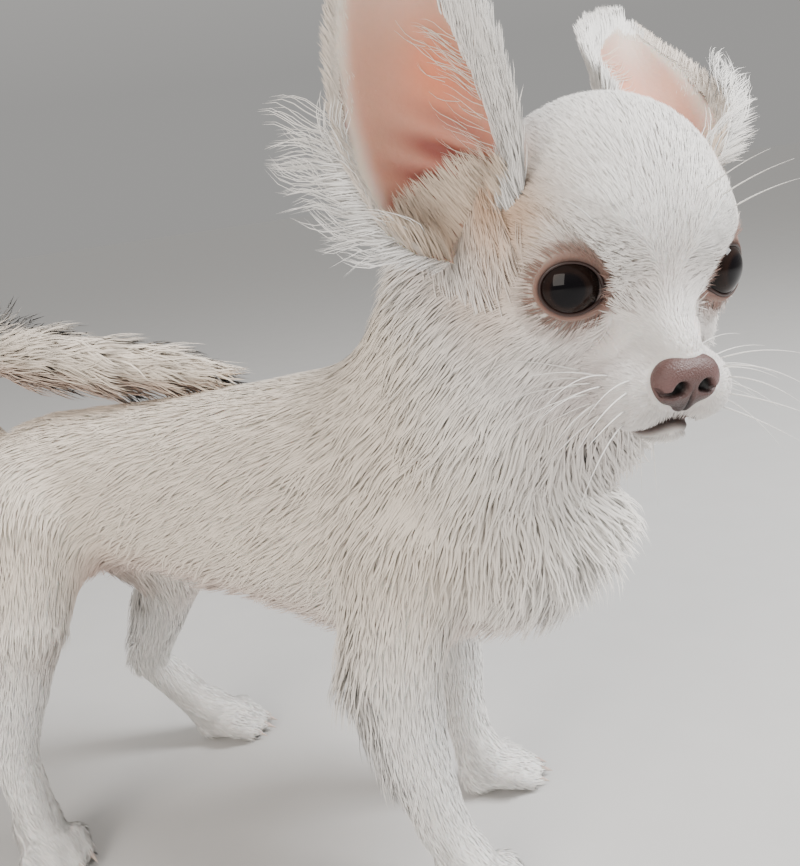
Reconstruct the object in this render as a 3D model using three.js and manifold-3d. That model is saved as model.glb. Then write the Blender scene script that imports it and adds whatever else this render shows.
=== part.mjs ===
// A long-coated chihuahua standing with its head turned to its right, at life size in millimetres.
// +X runs to the front of the dog, +Y to its left and +Z up; the floor is at Z = 0.
// The flesh is one field of rounded forms that melt into each other. It is meshed piece by piece,
// and plane cuts with a thin gap part it where a person would name the parts.
import * as THREE from 'three';
import { mergeVertices } from 'three/addons/utils/BufferGeometryUtils.js';
import Module from 'manifold-3d';

const wasm = await Module();
wasm.setup();

// Driving sizes
const GAP = 0.3; // kept between two pieces that touch
const WITHERS = 172; // height of the back over the shoulders
const BACK_Z = 134; // height of the spine side of the trunk's middle line
const SKULL = [36, 33.5, 35]; // half length, half width and half height of the domed skull
const EYE_R = 9.3; // radius of the eyeball
const HEAD_AT = [129, -8.6, 203.5]; // middle of the skull
const HEAD_YAW = -52; // degrees, turned to the dog's right
const HEAD_PITCH = 12; // degrees, nose down
const HEAD_ROLL = -4; // degrees
const COAT = 0xece6dc;

const V = (x, y, z) => new THREE.Vector3(x, y, z);
const deg = THREE.MathUtils.degToRad;

// Forms of the flesh. Each is a function of a point: below zero inside, above zero outside.

// An egg with its middle and its three half lengths.
function egg([cx, cy, cz], [a, b, c]) {
  return (x, y, z) => {
    const u = (x - cx) / a;
    const v = (y - cy) / b;
    const w = (z - cz) / c;
    const k0 = Math.hypot(u, v, w);
    const k1 = Math.hypot(u / a, v / b, w / c);
    return k1 > 1e-9 ? (k0 * (k0 - 1)) / k1 : -Math.min(a, b, c);
  };
}

// A limb: a rounded rod from p to q, with the radius rp at p and rq at q.
function limb(p, q, rp, rq) {
  const d = [q[0] - p[0], q[1] - p[1], q[2] - p[2]];
  const dd = d[0] * d[0] + d[1] * d[1] + d[2] * d[2];
  return (x, y, z) => {
    const u = x - p[0];
    const v = y - p[1];
    const w = z - p[2];
    const t = Math.min(1, Math.max(0, (u * d[0] + v * d[1] + w * d[2]) / dd));
    return Math.hypot(u - t * d[0], v - t * d[1], w - t * d[2]) - (rp + t * (rq - rp));
  };
}

// A chain of limbs through joints, each written [x, y, z, radius].
function chain(...joints) {
  const rods = joints.slice(1).map((j, i) => limb(joints[i], j, joints[i][3], j[3]));
  return melt(2, ...rods);
}

// Forms melted together over the length k.
function melt(k, ...forms) {
  return (x, y, z) => {
    let d = forms[0](x, y, z);
    for (let i = 1; i < forms.length; i++) {
      const e = forms[i](x, y, z);
      const h = Math.max(k - Math.abs(d - e), 0) / k;
      d = Math.min(d, e) - h * h * k * 0.25;
    }
    return d;
  };
}

// A form hollowed by another, with its rim rounded over the length k.
function hollow(k, form, ...cutters) {
  return (x, y, z) => {
    let d = form(x, y, z);
    for (const c of cutters) {
      const e = -c(x, y, z);
      const h = Math.max(k - Math.abs(d - e), 0) / k;
      d = Math.max(d, e) + h * h * k * 0.25;
    }
    return d;
  };
}

// A form moved by a matrix without scale.
function placed(form, matrix) {
  const e = matrix.clone().invert().elements;
  return (x, y, z) =>
    form(
      e[0] * x + e[4] * y + e[8] * z + e[12],
      e[1] * x + e[5] * y + e[9] * z + e[13],
      e[2] * x + e[6] * y + e[10] * z + e[14],
    );
}

function slope(field, p, h = 0.3) {
  return V(
    field(p.x + h, p.y, p.z) - field(p.x - h, p.y, p.z),
    field(p.x, p.y + h, p.z) - field(p.x, p.y - h, p.z),
    field(p.x, p.y, p.z + h) - field(p.x, p.y, p.z - h),
  ).multiplyScalar(0.5 / h);
}

// Moves a point onto the surface where the field is zero.
function settle(field, p, steps = 4) {
  for (let i = 0; i < steps; i++) {
    const g = slope(field, p);
    p.addScaledVector(g, -field(p.x, p.y, p.z) / Math.max(g.lengthSq(), 0.1));
  }
  return p;
}

// Solids

// A closed BufferGeometry as a solid that can be joined and cut.
function solid(geometry) {
  const g = geometry.clone();
  g.deleteAttribute('normal');
  g.deleteAttribute('uv');
  const merged = mergeVertices(g, 1e-4);
  return new wasm.Manifold(
    new wasm.Mesh({
      numProp: 3,
      vertProperties: new Float32Array(merged.attributes.position.array),
      triVerts: new Uint32Array(merged.index.array),
    }),
  );
}

// Meshes the field's surface inside a box with cubes of side cell, one vertex in each cube that
// the surface crosses, settled onto it.
function meshed(field, low, high, cell) {
  const n = [0, 1, 2].map((i) => Math.ceil((high[i] - low[i]) / cell) + 1);
  const at = (i, j, k) => (k * n[1] + j) * n[0] + i;
  const value = new Float32Array(n[0] * n[1] * n[2]).fill(1);
  for (let k = 1; k < n[2] - 1; k++)
    for (let j = 1; j < n[1] - 1; j++)
      for (let i = 1; i < n[0] - 1; i++)
        value[at(i, j, k)] = field(low[0] + i * cell, low[1] + j * cell, low[2] + k * cell) || 1e-6;
  const unit = [1, n[0], n[0] * n[1]];
  for (let pass = 0; pass < 3; pass++)
    for (let a = 0; a < value.length - unit[2] - unit[1]; a++)
      for (const [s, t] of [[1, unit[1]], [unit[1], unit[2]], [1, unit[2]]]) {
        const inside = [a, a + s, a + t, a + s + t].map((m) => value[m] < 0);
        if (inside[0] !== inside[3] || inside[1] !== inside[2] || inside[0] === inside[1]) continue;
        for (const m of inside[0] ? [a + s, a + t] : [a, a + s + t]) value[m] = -0.02;
      }
  const vertex = new Map();
  const position = [];
  for (let k = 0; k < n[2] - 1; k++)
    for (let j = 0; j < n[1] - 1; j++)
      for (let i = 0; i < n[0] - 1; i++) {
        const sum = V(0, 0, 0);
        let crossings = 0;
        for (let c = 0; c < 8; c++)
          for (const step of [1, 2, 4]) {
            if (c & step) continue;
            const [a, b] = [c, c | step].map((s) => [s & 1, (s >> 1) & 1, s >> 2]);
            const va = value[at(i + a[0], j + a[1], k + a[2])];
            const vb = value[at(i + b[0], j + b[1], k + b[2])];
            if (va < 0 === vb < 0) continue;
            const t = va / (va - vb);
            sum.add(V(...a.map((x, m) => x + t * (b[m] - x))));
            crossings++;
          }
        if (!crossings) continue;
        const p = sum.divideScalar(crossings).multiplyScalar(cell);
        p.add(V(low[0] + i * cell, low[1] + j * cell, low[2] + k * cell));
        const inner = [i, j, k].every((x, m) => x > 0 && x < n[m] - 2);
        if (inner) {
          const start = p.clone();
          settle(field, p, 3);
          if (p.distanceTo(start) > 0.6 * cell) p.copy(start);
        }
        vertex.set(at(i, j, k), position.length / 3);
        position.push(p.x, p.y, p.z);
      }
  const index = [];
  const quad = (a, b, c, d, flip) => {
    const [p, q, r, s] = [a, b, c, d].map((m) => vertex.get(m));
    index.push(...(flip ? [p, r, q, p, s, r] : [p, q, r, p, r, s]));
  };
  for (let k = 1; k < n[2] - 1; k++)
    for (let j = 1; j < n[1] - 1; j++)
      for (let i = 1; i < n[0] - 1; i++) {
        const v = value[at(i, j, k)] < 0;
        const a = at(i, j, k);
        const [X, Y, Z] = [1, n[0], n[0] * n[1]];
        for (const [step, s, t] of [[X, Y, Z], [Y, Z, X], [Z, X, Y]])
          for (const back of [false, true]) {
            const other = back ? a - step : a + step;
            if (!v || value[other] < 0) continue;
            const base = back ? a - step : a;
            quad(base - s - t, base - t, base, base - s, back);
          }
      }
  const g = new THREE.BufferGeometry();
  g.setAttribute('position', new THREE.Float32BufferAttribute(position, 3));
  g.setIndex(index);
  return solid(g.toNonIndexed());
}

// A block that starts at the plane through point, on the side that normal shows.
function block(point, normal, depth = 120, width = 160) {
  const g = new THREE.BoxGeometry(width, width, depth).translate(0, 0, depth / 2);
  g.applyQuaternion(new THREE.Quaternion().setFromUnitVectors(V(0, 0, 1), normal.clone().normalize()));
  return solid(g.translate(point.x, point.y, point.z).toNonIndexed());
}

// The largest closed piece of a solid.
function largest(made) {
  return made.decompose().reduce((a, b) => (b.volume() > a.volume() ? b : a));
}

// The head, in a frame of its own: x to the nose, y to the left and z up from the skull's middle.
const headFrame = new THREE.Matrix4()
  .makeTranslation(...HEAD_AT)
  .multiply(new THREE.Matrix4().makeRotationZ(deg(HEAD_YAW)))
  .multiply(new THREE.Matrix4().makeRotationY(deg(HEAD_PITCH)))
  .multiply(new THREE.Matrix4().makeRotationX(deg(HEAD_ROLL)));
const inHead = (x, y, z) => V(x, y, z).applyMatrix4(headFrame);
const headWay = (x, y, z) => V(x, y, z).transformDirection(headFrame);

const EYE_OUT = 25; // degrees that each eye looks outwards
const eyeWay = (side) => [Math.cos(deg(EYE_OUT)), side * Math.sin(deg(EYE_OUT)), 0.06];
const CORNEA = [29, 23.4, -6.9];
const eyeMiddle = (side) => {
  const way = eyeWay(side);
  return [CORNEA[0] - EYE_R * way[0], side * CORNEA[1] - EYE_R * way[1], CORNEA[2] - EYE_R * way[2]];
};
const LID_OUT = 5; // from the eye's middle to the plane of the lids
const lidMiddle = (side) => eyeMiddle(side).map((c, i) => c + LID_OUT * eyeWay(side)[i]);

function headForm() {
  const skull = melt(
    9,
    egg([0, 0, 0], SKULL),
    egg([-13, 0, -7], [25, 27, 27]),
    egg([5, 17, -22], [20, 14, 16]),
    egg([5, -17, -22], [20, 14, 16]),
    egg([23, 12, 4], [10, 11, 10]),
    egg([23, -12, 4], [10, 11, 10]),
  );
  const muzzle = melt(
    5,
    limb([18, 0, -24], [34, 0, -28], 16, 11),
    limb([24, 0, -12], [40.5, 0, -21.5], 8.5, 6),
    egg([35.5, 8, -31.5], [10.5, 8.4, 7.4]),
    egg([35.5, -8, -31.5], [10.5, 8.4, 7.4]),
  );
  const jaw = melt(3, limb([8, 0, -34], [31, 0, -40], 13, 6.6), egg([34.5, 0, -41], [7, 7, 5]));
  const head = melt(8, skull, limb([-2, 0, -20], [-16, 0, -46], 24, 26), melt(2, muzzle, jaw));
  const orbit = [1, -1].map((side) => egg([35, side * 29.5, -9], [11, 11, 10]));
  return hollow(5, head, ...orbit);
}

// The trunk and neck
function trunkForm() {
  const withersZ = WITHERS - 46;
  return melt(
    14,
    egg([50, 0, withersZ], [52, 34, 46]),
    egg([88, 0, 116], [36, 30, 32]),
    egg([10, 0, BACK_Z - 3], [56, 32, 37]),
    egg([-42, 0, BACK_Z + 1], [52, 27, 29]),
    egg([-76, 0, BACK_Z - 2], [31, 27, 28]),
    limb([78, -1, 140], [112, -8, 176], 33, 29),
    limb([60, 0, 148], [88, -4, 190], 22, 22),
  );
}

// Each leg is a chain of joints, written [x, y, z, radius].
const LEGS = {
  foreleg_right: [[68, -24, 118, 22], [61, -33, 86, 15.5], [63, -33, 54, 10.8], [67, -31, 29, 8.8], [72, -30, 17, 8.6]],
  foreleg_left: [[66, 24, 118, 22], [57, 33, 86, 15], [57, 30, 54, 10.2], [58, 27, 30, 8.4], [61, 26, 18, 8.4]],
  hindleg_right: [[-78, -19, 126, 27], [-75, -33, 97, 15], [-84, -36, 71, 10.6], [-93, -38, 45, 8.4], [-91, -38, 18, 8]],
  hindleg_left: [[-78, 19, 126, 27], [-58, 32, 92, 16.5], [-72, 34, 66, 11], [-86, 37, 43, 8.4], [-70, 44, 17, 8]],
};

// Each paw stands at [x, y] and points along its heading in degrees.
const PAWS = {
  forepaw_right: { at: [74, -30], heading: -6 },
  forepaw_left: { at: [64, 27], heading: 33 },
  hindpaw_right: { at: [-90, -38.5], heading: -22 },
  hindpaw_left: { at: [-64, 47], heading: 20 },
};
const TOES = [-8.2, -2.9, 2.9, 8.2];
const TOE_R = 4.5;

function pawFrame({ at, heading }) {
  return new THREE.Matrix4()
    .makeTranslation(at[0], at[1], 0)
    .multiply(new THREE.Matrix4().makeRotationZ(deg(heading)));
}

const toeReach = (y) => 17 - 0.055 * y * y;

function pawForm(paw) {
  const toes = TOES.map((y) =>
    melt(2, limb([3, y * 0.7, 8], [toeReach(y) - 6, y, 8], 5.2, TOE_R + 0.4), limb([toeReach(y) - 6, y, 8], [toeReach(y), y, 4.2], TOE_R + 0.2, TOE_R - 0.4)),
  );
  const palm = melt(4, egg([0, 0, 7], [13, 10.5, 7.5]), limb([-2, 0, 14], [6, 0, 9], 8.4, 7));
  return placed(melt(2.4, palm, ...toes), pawFrame(paw));
}

const trunk = trunkForm();
const legs = Object.values(LEGS).map((joints) => chain(...joints));
const paws = Object.values(PAWS).map(pawForm);
const head = placed(headForm(), headFrame);

// The tail curls up from the rump and lies forward over the back: [x, y, z, radius].
const TAIL = [[-96, 0, 144, 9], [-111, 0, 158, 8], [-113, 1, 174, 7.5], [-99, 2, 184, 7], [-78, 3, 183, 7], [-54, 4, 179, 6.5], [-31, 5, 175.5, 5.2], [-12, 5, 172.5, 3]];
const tailForm = chain(...TAIL);

const body = melt(10, melt(12, trunk, head), ...legs.map((leg, i) => melt(5, leg, paws[i])));

// Where the parts meet: a point on the plane and the way to the named part.
const JOINTS = {
  neck: { at: V(86, 0, 152), way: V(0.5, 0, 0.86) },
  head: { at: inHead(-12, 0, -28), way: headWay(0.555, 0, 0.832) },
  muzzle: { at: inHead(26, 0, -29), way: headWay(0.954, 0, -0.3) },
  foreleg_right: { at: V(62, -33, 93), way: V(0, -0.28, -0.96) },
  foreleg_left: { at: V(58, 33, 93), way: V(0, 0.28, -0.96) },
  hindleg_right: { at: V(-70, -24, 116), way: V(0.12, -0.62, -0.78) },
  hindleg_left: { at: V(-66, 24, 114), way: V(0.12, 0.62, -0.78) },
};

function beyond(name, extra = 0, depth = 130, width = 110) {
  const { at, way } = JOINTS[name];
  const n = way.clone().normalize();
  return block(at.clone().addScaledVector(n, extra), n, depth, width);
}

const nodes = new Map();
const half = GAP / 2;

// The room that a leg takes beyond its joint's plane, drawn in by extra all round.
function legRoom(leg, extra) {
  const [x0, x1] = leg.startsWith('fore') ? [31, 101] : [-125, -41];
  const side = leg.endsWith('right') ? -1 : 1;
  const box = new THREE.BoxGeometry(x1 - x0 - 2 * extra, 86 - extra, 200);
  const slab = solid(box.translate((x0 + x1) / 2, side * (4 + extra + (86 - extra) / 2), 70));
  return slab.intersect(beyond(leg, extra, 200, 400));
}

const grown = (field, extra) => (x, y, z) => field(x, y, z) - extra;

// Cranium, muzzle and neck
const HEAD_BOX = [[82, -62, 138], [176, 42, 246], 5.1];
const headMesh = meshed(body, ...HEAD_BOX);
const muzzleMesh = meshed(body, [118, -70, 140], [172, -12, 200], 3.8);
const neckMesh = meshed(body, [34, -60, 100], [156, 50, 226], 6.8);

// The lids stand round each eye as a soft oval rim.
const lids = [1, -1].map((side) => {
  const g = new THREE.TorusGeometry(8, 1.5, 5, 14).scale(1.08, 0.97, 1.25);
  g.applyQuaternion(new THREE.Quaternion().setFromUnitVectors(V(0, 0, 1), V(...eyeWay(side)).normalize()));
  return solid(g.translate(...lidMiddle(side)).applyMatrix4(headFrame));
});
const sockets = [1, -1].map((side) => {
  const g = new THREE.SphereGeometry(EYE_R + GAP + 0.2, 12, 8).translate(...eyeMiddle(side));
  return solid(g.applyMatrix4(headFrame));
});
let cranium = headMesh.intersect(beyond('head', half, 120, 150)).subtract(beyond('muzzle', -half, 60, 70));
const lidCut = beyond('muzzle', -half, 60, 70);
lids.forEach((lid, i) => {
  cranium = cranium.add(lid.subtract(lidCut)).subtract(sockets[i]);
});
nodes.set('head', cranium);

// Nose leather with a groove down its middle and two comma nostrils.
const noseForm = placed(
  melt(
    1.6,
    egg([44, 3.4, -25], [4.6, 5.2, 5.8]),
    egg([44, -3.4, -25], [4.6, 5.2, 5.8]),
    egg([43, 0, -27], [4.4, 4, 6]),
  ),
  headFrame,
);
const noseBox = [[136, -58, 152], [170, -26, 186]];
let nose = meshed(noseForm, ...noseBox, 2.3);
for (const side of [1, -1]) {
  const g = new THREE.SphereGeometry(1.7, 8, 6).scale(1.6, 1, 1.25).rotateX(side * 0.5);
  nose = nose.subtract(solid(g.translate(48.2, side * 4.2, -25.6).applyMatrix4(headFrame)));
}
nodes.set('nose', nose);

// The mouth is a shallow cut between the lips, from one corner round to the other.
const MOUTH = [[19, -19, -34.5], [25, -18, -37.5], [31, -16, -39], [37, -12, -38.6], [42, -6.5, -36.8], [44.5, 0, -35.4]];
function mouthCut() {
  const line = [...MOUTH, ...MOUTH.slice(0, -1).reverse().map(([x, y, z]) => [x, -y, z])];
  const path = new THREE.CatmullRomCurve3(line.map((p) => V(...p)));
  const inLocal = headForm();
  const position = [];
  const steps = 18;
  for (let i = 0; i <= steps; i++) {
    const p = settle(inLocal, path.getPoint(i / steps), 5);
    const n = slope(inLocal, p).normalize();
    const open = 0.55 * Math.sin(Math.PI * Math.min(1, Math.max(0.04, (i + 0.6) / (steps + 1.2)))) ** 0.4;
    for (const [deep, up] of [[-1.9, -0.25], [3, -open], [3, open], [-1.9, 0.25]]) {
      const q = p.clone().addScaledVector(n, deep);
      position.push(q.x, q.y, q.z + up);
    }
  }
  const index = [0, 1, 2, 0, 2, 3];
  for (let i = 0; i < steps; i++)
    for (let m = 0; m < 4; m++) {
      const [a, b] = [4 * i + m, 4 * i + ((m + 1) % 4)];
      index.push(a, a + 4, b + 4, a, b + 4, b);
    }
  const e = 4 * steps;
  index.push(e, e + 2, e + 1, e, e + 3, e + 2);
  const g = new THREE.BufferGeometry();
  g.setAttribute('position', new THREE.Float32BufferAttribute(position, 3));
  g.setIndex(index);
  let made = solid(g.applyMatrix4(headFrame).toNonIndexed());
  if (made.volume() < 0) {
    const flipped = index.flatMap((_, i) => (i % 3 ? [] : [index[i], index[i + 2], index[i + 1]]));
    g.setIndex(flipped);
    made = solid(g.toNonIndexed());
  }
  return made;
}
const mouth = mouthCut();
const muzzle = muzzleMesh
  .intersect(beyond('muzzle', half, 60, 70))
  .subtract(meshed(grown(noseForm, GAP), ...noseBox, 2.3))
  .subtract(mouth);
nodes.set('muzzle', muzzle);
nodes.set(
  'neck',
  neckMesh
    .intersect(beyond('neck', half, 110, 150))
    .subtract(beyond('head', -half, 120, 150))
    .subtract(beyond('muzzle', -half, 60, 70)),
);

for (const [name, side] of [['eye_left', 1], ['eye_right', -1]]) {
  const g = new THREE.SphereGeometry(EYE_R, 12, 8).translate(...eyeMiddle(side));
  nodes.set(name, solid(g.applyMatrix4(headFrame)));
}

// Ears: a leaf of skin bent into a cup, thin at its rim. The middle line runs root to tip.
const EARS = {
  ear_right: { line: [[-10, -30, -1], [-10, -38, 14], [-12, -46, 35], [-15, -52, 56], [-17, -54, 76]], front: [0.84, -0.5, 0.2] },
  ear_left: { line: [[-14, 22, 2], [-22, 28, 15], [-36, 31, 28], [-50, 34, 38], [-62, 36, 45]], front: [0.62, 0.3, 0.75] },
};
const EAR_HALF = [11, 15.5, 19, 20.6, 20.4, 18, 14, 8.5, 2]; // half width from root to tip
const EAR_BEND = [112, 100, 84, 70, 60, 52, 46, 40, 34]; // degrees from the middle line to the rim
const EAR_THICK = 2.1;
function earSolid({ line, front }) {
  const path = new THREE.CatmullRomCurve3(line.map((p) => V(...p)));
  const rows = EAR_HALF.length - 1;
  const cols = 8;
  const faces = [[], []];
  for (let i = 0; i <= rows; i++) {
    const s = i / rows;
    const along = path.getTangentAt(s);
    const out = V(...front).addScaledVector(along, -V(...front).dot(along)).normalize();
    const side = along.clone().cross(out);
    const bend = deg(EAR_BEND[i]);
    const R = EAR_HALF[i] / Math.sin(Math.min(bend, Math.PI / 2));
    const at = path.getPointAt(s);
    for (let j = 0; j <= cols; j++) {
      const t = (2 * j) / cols - 1;
      const a = bend * t;
      const normal = out.clone().multiplyScalar(Math.cos(a)).addScaledVector(side, -Math.sin(a));
      const back = at.clone().addScaledVector(out, R * (1 - Math.cos(a))).addScaledVector(side, R * Math.sin(a));
      const thick = EAR_THICK * (1 - 0.45 * t * t) * (1 - 0.3 * s);
      faces[1].push(back);
      faces[0].push(back.clone().addScaledVector(normal, Math.min(thick, 0.8 * R)));
    }
  }
  const position = [...faces[0], ...faces[1]].flatMap((p) => p.toArray());
  const N = (rows + 1) * (cols + 1);
  const index = [];
  const quad = (a, b, c, d) => index.push(a, b, c, a, c, d);
  const at = (i, j, layer) => layer * N + i * (cols + 1) + j;
  for (let i = 0; i < rows; i++)
    for (let j = 0; j < cols; j++) {
      quad(at(i, j, 0), at(i, j + 1, 0), at(i + 1, j + 1, 0), at(i + 1, j, 0));
      quad(at(i, j, 1), at(i + 1, j, 1), at(i + 1, j + 1, 1), at(i, j + 1, 1));
    }
  for (let j = 0; j < cols; j++) {
    quad(at(0, j, 0), at(0, j, 1), at(0, j + 1, 1), at(0, j + 1, 0));
    quad(at(rows, j, 0), at(rows, j + 1, 0), at(rows, j + 1, 1), at(rows, j, 1));
  }
  for (let i = 0; i < rows; i++) {
    quad(at(i, 0, 0), at(i + 1, 0, 0), at(i + 1, 0, 1), at(i, 0, 1));
    quad(at(i, cols, 0), at(i, cols, 1), at(i + 1, cols, 1), at(i + 1, cols, 0));
  }
  const build = (order) => {
    const g = new THREE.BufferGeometry();
    g.setAttribute('position', new THREE.Float32BufferAttribute(position, 3));
    g.setIndex(order);
    return solid(g.applyMatrix4(headFrame).toNonIndexed());
  };
  const made = build(index);
  if (made.volume() > 0) return made;
  return build(index.flatMap((_, i) => (i % 3 ? [] : [index[i], index[i + 2], index[i + 1]])));
}
const headGrown = meshed(grown(body, GAP), ...HEAD_BOX);
for (const [name, ear] of Object.entries(EARS)) nodes.set(name, earSolid(ear).subtract(headGrown));

// Torso
const trunkMesh = meshed(body, [-116, -62, 60], [138, 62, 196], 9);
let torso = trunkMesh.subtract(beyond('neck', -half, 110, 150));
for (const leg of Object.keys(LEGS)) torso = torso.subtract(legRoom(leg, -half));
nodes.set('torso', torso);

// Legs and paws
const WRIST_Z = 22;
const KNEE_Z = 80; // where the thigh meets the shank
Object.keys(LEGS).forEach((leg, i) => {
  const fore = leg.startsWith('fore');
  const pawName = Object.keys(PAWS)[i];
  const side = leg.endsWith('right') ? -1 : 1;
  const x = fore ? [24, 108] : [-122, -20];
  const y = side < 0 ? [-74, -4] : [4, 74];
  const legMesh = meshed(body, [x[0], y[0], 10], [x[1], y[1], 150], 6.8);
  const below = block(V((x[0] + x[1]) / 2, (y[0] + y[1]) / 2, WRIST_Z - half), V(0, 0, -1), 60, 160);
  const floor = block(V(0, 0, 0), V(0, 0, 1), WRIST_Z - half, 400);
  const upper = block(V(0, 0, WRIST_Z + half), V(0, 0, 1), 200, 400);
  const whole = legMesh.intersect(legRoom(leg, half)).intersect(upper);
  if (fore) nodes.set(leg, whole);
  else {
    const knee = (extra) => block(V((x[0] + x[1]) / 2, 0, KNEE_Z + extra), V(0, 0, -1), 200, 400);
    nodes.set(leg.replace('hindleg', 'thigh'), whole.subtract(knee(half)));
    nodes.set(leg.replace('hindleg', 'shank'), whole.intersect(knee(-half)));
  }
  const pawMesh = meshed(body, [x[0], y[0], -8], [x[1], y[1], WRIST_Z + 6], 4.4);
  let paw = pawMesh.intersect(floor);
  for (const toe of TOES) {
    const claw = new THREE.ConeGeometry(1.5, 8, 5).rotateZ(-Math.PI / 2 - 0.75);
    claw.translate(toeReach(toe) + 4, toe * 1.05, 3.6).applyMatrix4(pawFrame(PAWS[pawName]));
    paw = paw.add(solid(claw).intersect(floor));
  }
  nodes.set(pawName, paw);
});

// Tail, in three lengths
const tailMesh = meshed(tailForm, [-132, -24, 124], [0, 24, 206], 5.4);
const torsoGrown = meshed(grown(body, GAP), [-116, -62, 60], [138, 62, 196], 9);
const TAIL_CUTS = [
  { at: V(-114, 1, 171), way: V(0.1, 0, 1) },
  { at: V(-64, 3, 181), way: V(0.98, 0, -0.16) },
];
const cutAt = ({ at, way }, extra) => {
  const n = way.clone().normalize();
  return block(at.clone().addScaledVector(n, extra), n, 130, 300);
};
nodes.set(
  'tail_root',
  tailMesh.subtract(torsoGrown).subtract(cutAt(TAIL_CUTS[0], -half)).subtract(cutAt(TAIL_CUTS[1], -half)),
);
nodes.set('tail_middle', tailMesh.intersect(cutAt(TAIL_CUTS[0], half)).subtract(cutAt(TAIL_CUTS[1], -half)));
nodes.set('tail_end', tailMesh.intersect(cutAt(TAIL_CUTS[1], half)).subtract(torsoGrown));

// The long coat: flat, tapered locks that follow the skin, bend with it and overlap. Each size
// is [length, width, how far the tip stands off the skin].
const LOCK = {
  chest: [27, 13, 7.5],
  ruff: [25, 14.5, 4.5],
  belly: [20, 11, 7],
  foreleg: [16, 7, 4.5],
  breeches: [22, 10, 5.5],
  tail: [27, 11, 7],
  ear: [16, 7.5, 5],
};
const RINGS = [[0, 0.66], [0.3, 1], [0.68, 0.72]]; // share of the length, share of the width
let seed = 23;
const random = () => {
  seed = (seed * 16807) % 2147483647;
  return seed / 2147483647;
};
const vary = (share) => 1 + share * (2 * random() - 1);

// One lock through the points of its middle line, in a flat three-sided section grown by extra.
function lock(line, normals, width, extra) {
  const position = [];
  line.forEach((at, i) => {
    const tangent = line[Math.min(i + 1, line.length - 1)].clone().sub(line[Math.max(i - 1, 0)]).normalize();
    const side = normals[i].clone().cross(tangent).normalize();
    const up = tangent.clone().cross(side).normalize();
    if (i === line.length - 1) {
      position.push(...at.clone().addScaledVector(tangent, extra).toArray());
      return;
    }
    const w = (width / 2) * RINGS[i][1] + extra;
    const t = Math.max(0.8, width * 0.14 * RINGS[i][1]) + extra;
    for (const [a, b] of [[w, -0.4 * t], [0, t], [-w, -0.4 * t]])
      position.push(...at.clone().addScaledVector(side, a).addScaledVector(up, b).toArray());
  });
  const index = [0, 1, 2];
  const last = RINGS.length - 1;
  for (let i = 0; i < last; i++)
    for (let m = 0; m < 3; m++) {
      const [a, b] = [3 * i + m, 3 * i + ((m + 1) % 3)];
      index.push(a, a + 3, b + 3, a, b + 3, b);
    }
  for (let m = 0; m < 3; m++) index.push(3 * last + m, 3 * last + 3, 3 * last + ((m + 1) % 3));
  const build = (order) => {
    const g = new THREE.BufferGeometry();
    g.setAttribute('position', new THREE.Float32BufferAttribute(position, 3));
    g.setIndex(order);
    return solid(g.toNonIndexed());
  };
  const made = build(index);
  if (made.volume() > 0) return made;
  return build(index.flatMap((_, i) => (i % 3 ? [] : [index[i], index[i + 2], index[i + 1]])));
}

const locks = new Map(); // node name to its locks and their rooms
function keepLock(node, line, normals, width) {
  if (!locks.has(node)) locks.set(node, []);
  locks.get(node).push({ real: lock(line, normals, width, 0), room: lock(line, normals, width, 0.35) });
}

// A lock that walks over the skin from its root along lie, with its tip lifted off.
function growLock(node, field, guess, lie, [length, width, lift], sunk = 1.6) {
  const own = length * vary(0.15);
  const high = lift * vary(0.3);
  const way = lie.clone().normalize().add(V(vary(1) - 1, vary(1) - 1, vary(1) - 1).multiplyScalar(0.16));
  const at = settle(field, guess.clone(), 8);
  const line = [];
  const normals = [];
  let before = 0;
  for (const s of [...RINGS.map(([share]) => share), 1]) {
    const here = slope(field, at).normalize();
    const flat = way.clone().addScaledVector(here, -way.dot(here)).normalize();
    settle(field, at.addScaledVector(flat, own * (s - before)), 4);
    before = s;
    const normal = slope(field, at).normalize();
    line.push(at.clone().addScaledVector(normal, high * s ** 1.3 - sunk * (1 - s)));
    normals.push(normal);
  }
  keepLock(node, line, normals, width * vary(0.12));
}

// Chest and throat, in rows from the throat down to between the forelegs.
for (let row = 0; row < 6; row++)
  for (let i = 0; i < (row % 2 ? 2 : 3); i++) {
    const y = (i - (row % 2 ? 0.5 : 1)) * 17;
    const z = 140 - row * 12.5;
    const guess = V(112 - 0.02 * (z - 118) ** 2 - Math.abs(y) * 0.5, y, z);
    growLock('torso', body, guess, V(0.25, y * 0.012, -1), LOCK.chest);
  }
// Ruff, round the sides and back of the neck.
for (let row = 0; row < 2; row++)
  for (let i = 0; i < 5; i++) {
    const turn = deg(-120 + 60 * i + row * 30);
    const way = JOINTS.neck.way.clone().normalize();
    const across = V(0, 1, 0);
    const over = way.clone().cross(across);
    const middle = V(92 + 7 * row, -3, 162 + 12 * row);
    const guess = middle.addScaledVector(across, 32 * Math.sin(turn)).addScaledVector(over, 32 * Math.cos(turn));
    growLock('neck', body, guess, V(-0.75, 0, -0.8), LOCK.ruff);
  }
// Belly fringe
for (let i = 0; i < 6; i++)
  for (const side of [1, -1]) {
    const x = 32 - 17 * i + 5 * side;
    growLock('torso', body, V(x, side * 11, 92 + 0.06 * Math.max(0, 10 - x)), V(-0.8, side * 0.1, -0.6), LOCK.belly);
  }
// Backs of the forelegs
for (const side of [1, -1])
  for (let i = 0; i < 4; i++) {
    const node = side > 0 ? 'foreleg_left' : 'foreleg_right';
    growLock(node, body, V(47 + 1.5 * i, side * 31, 82 - 13 * i), V(-0.5, side * 0.15, -1), LOCK.foreleg);
  }
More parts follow.
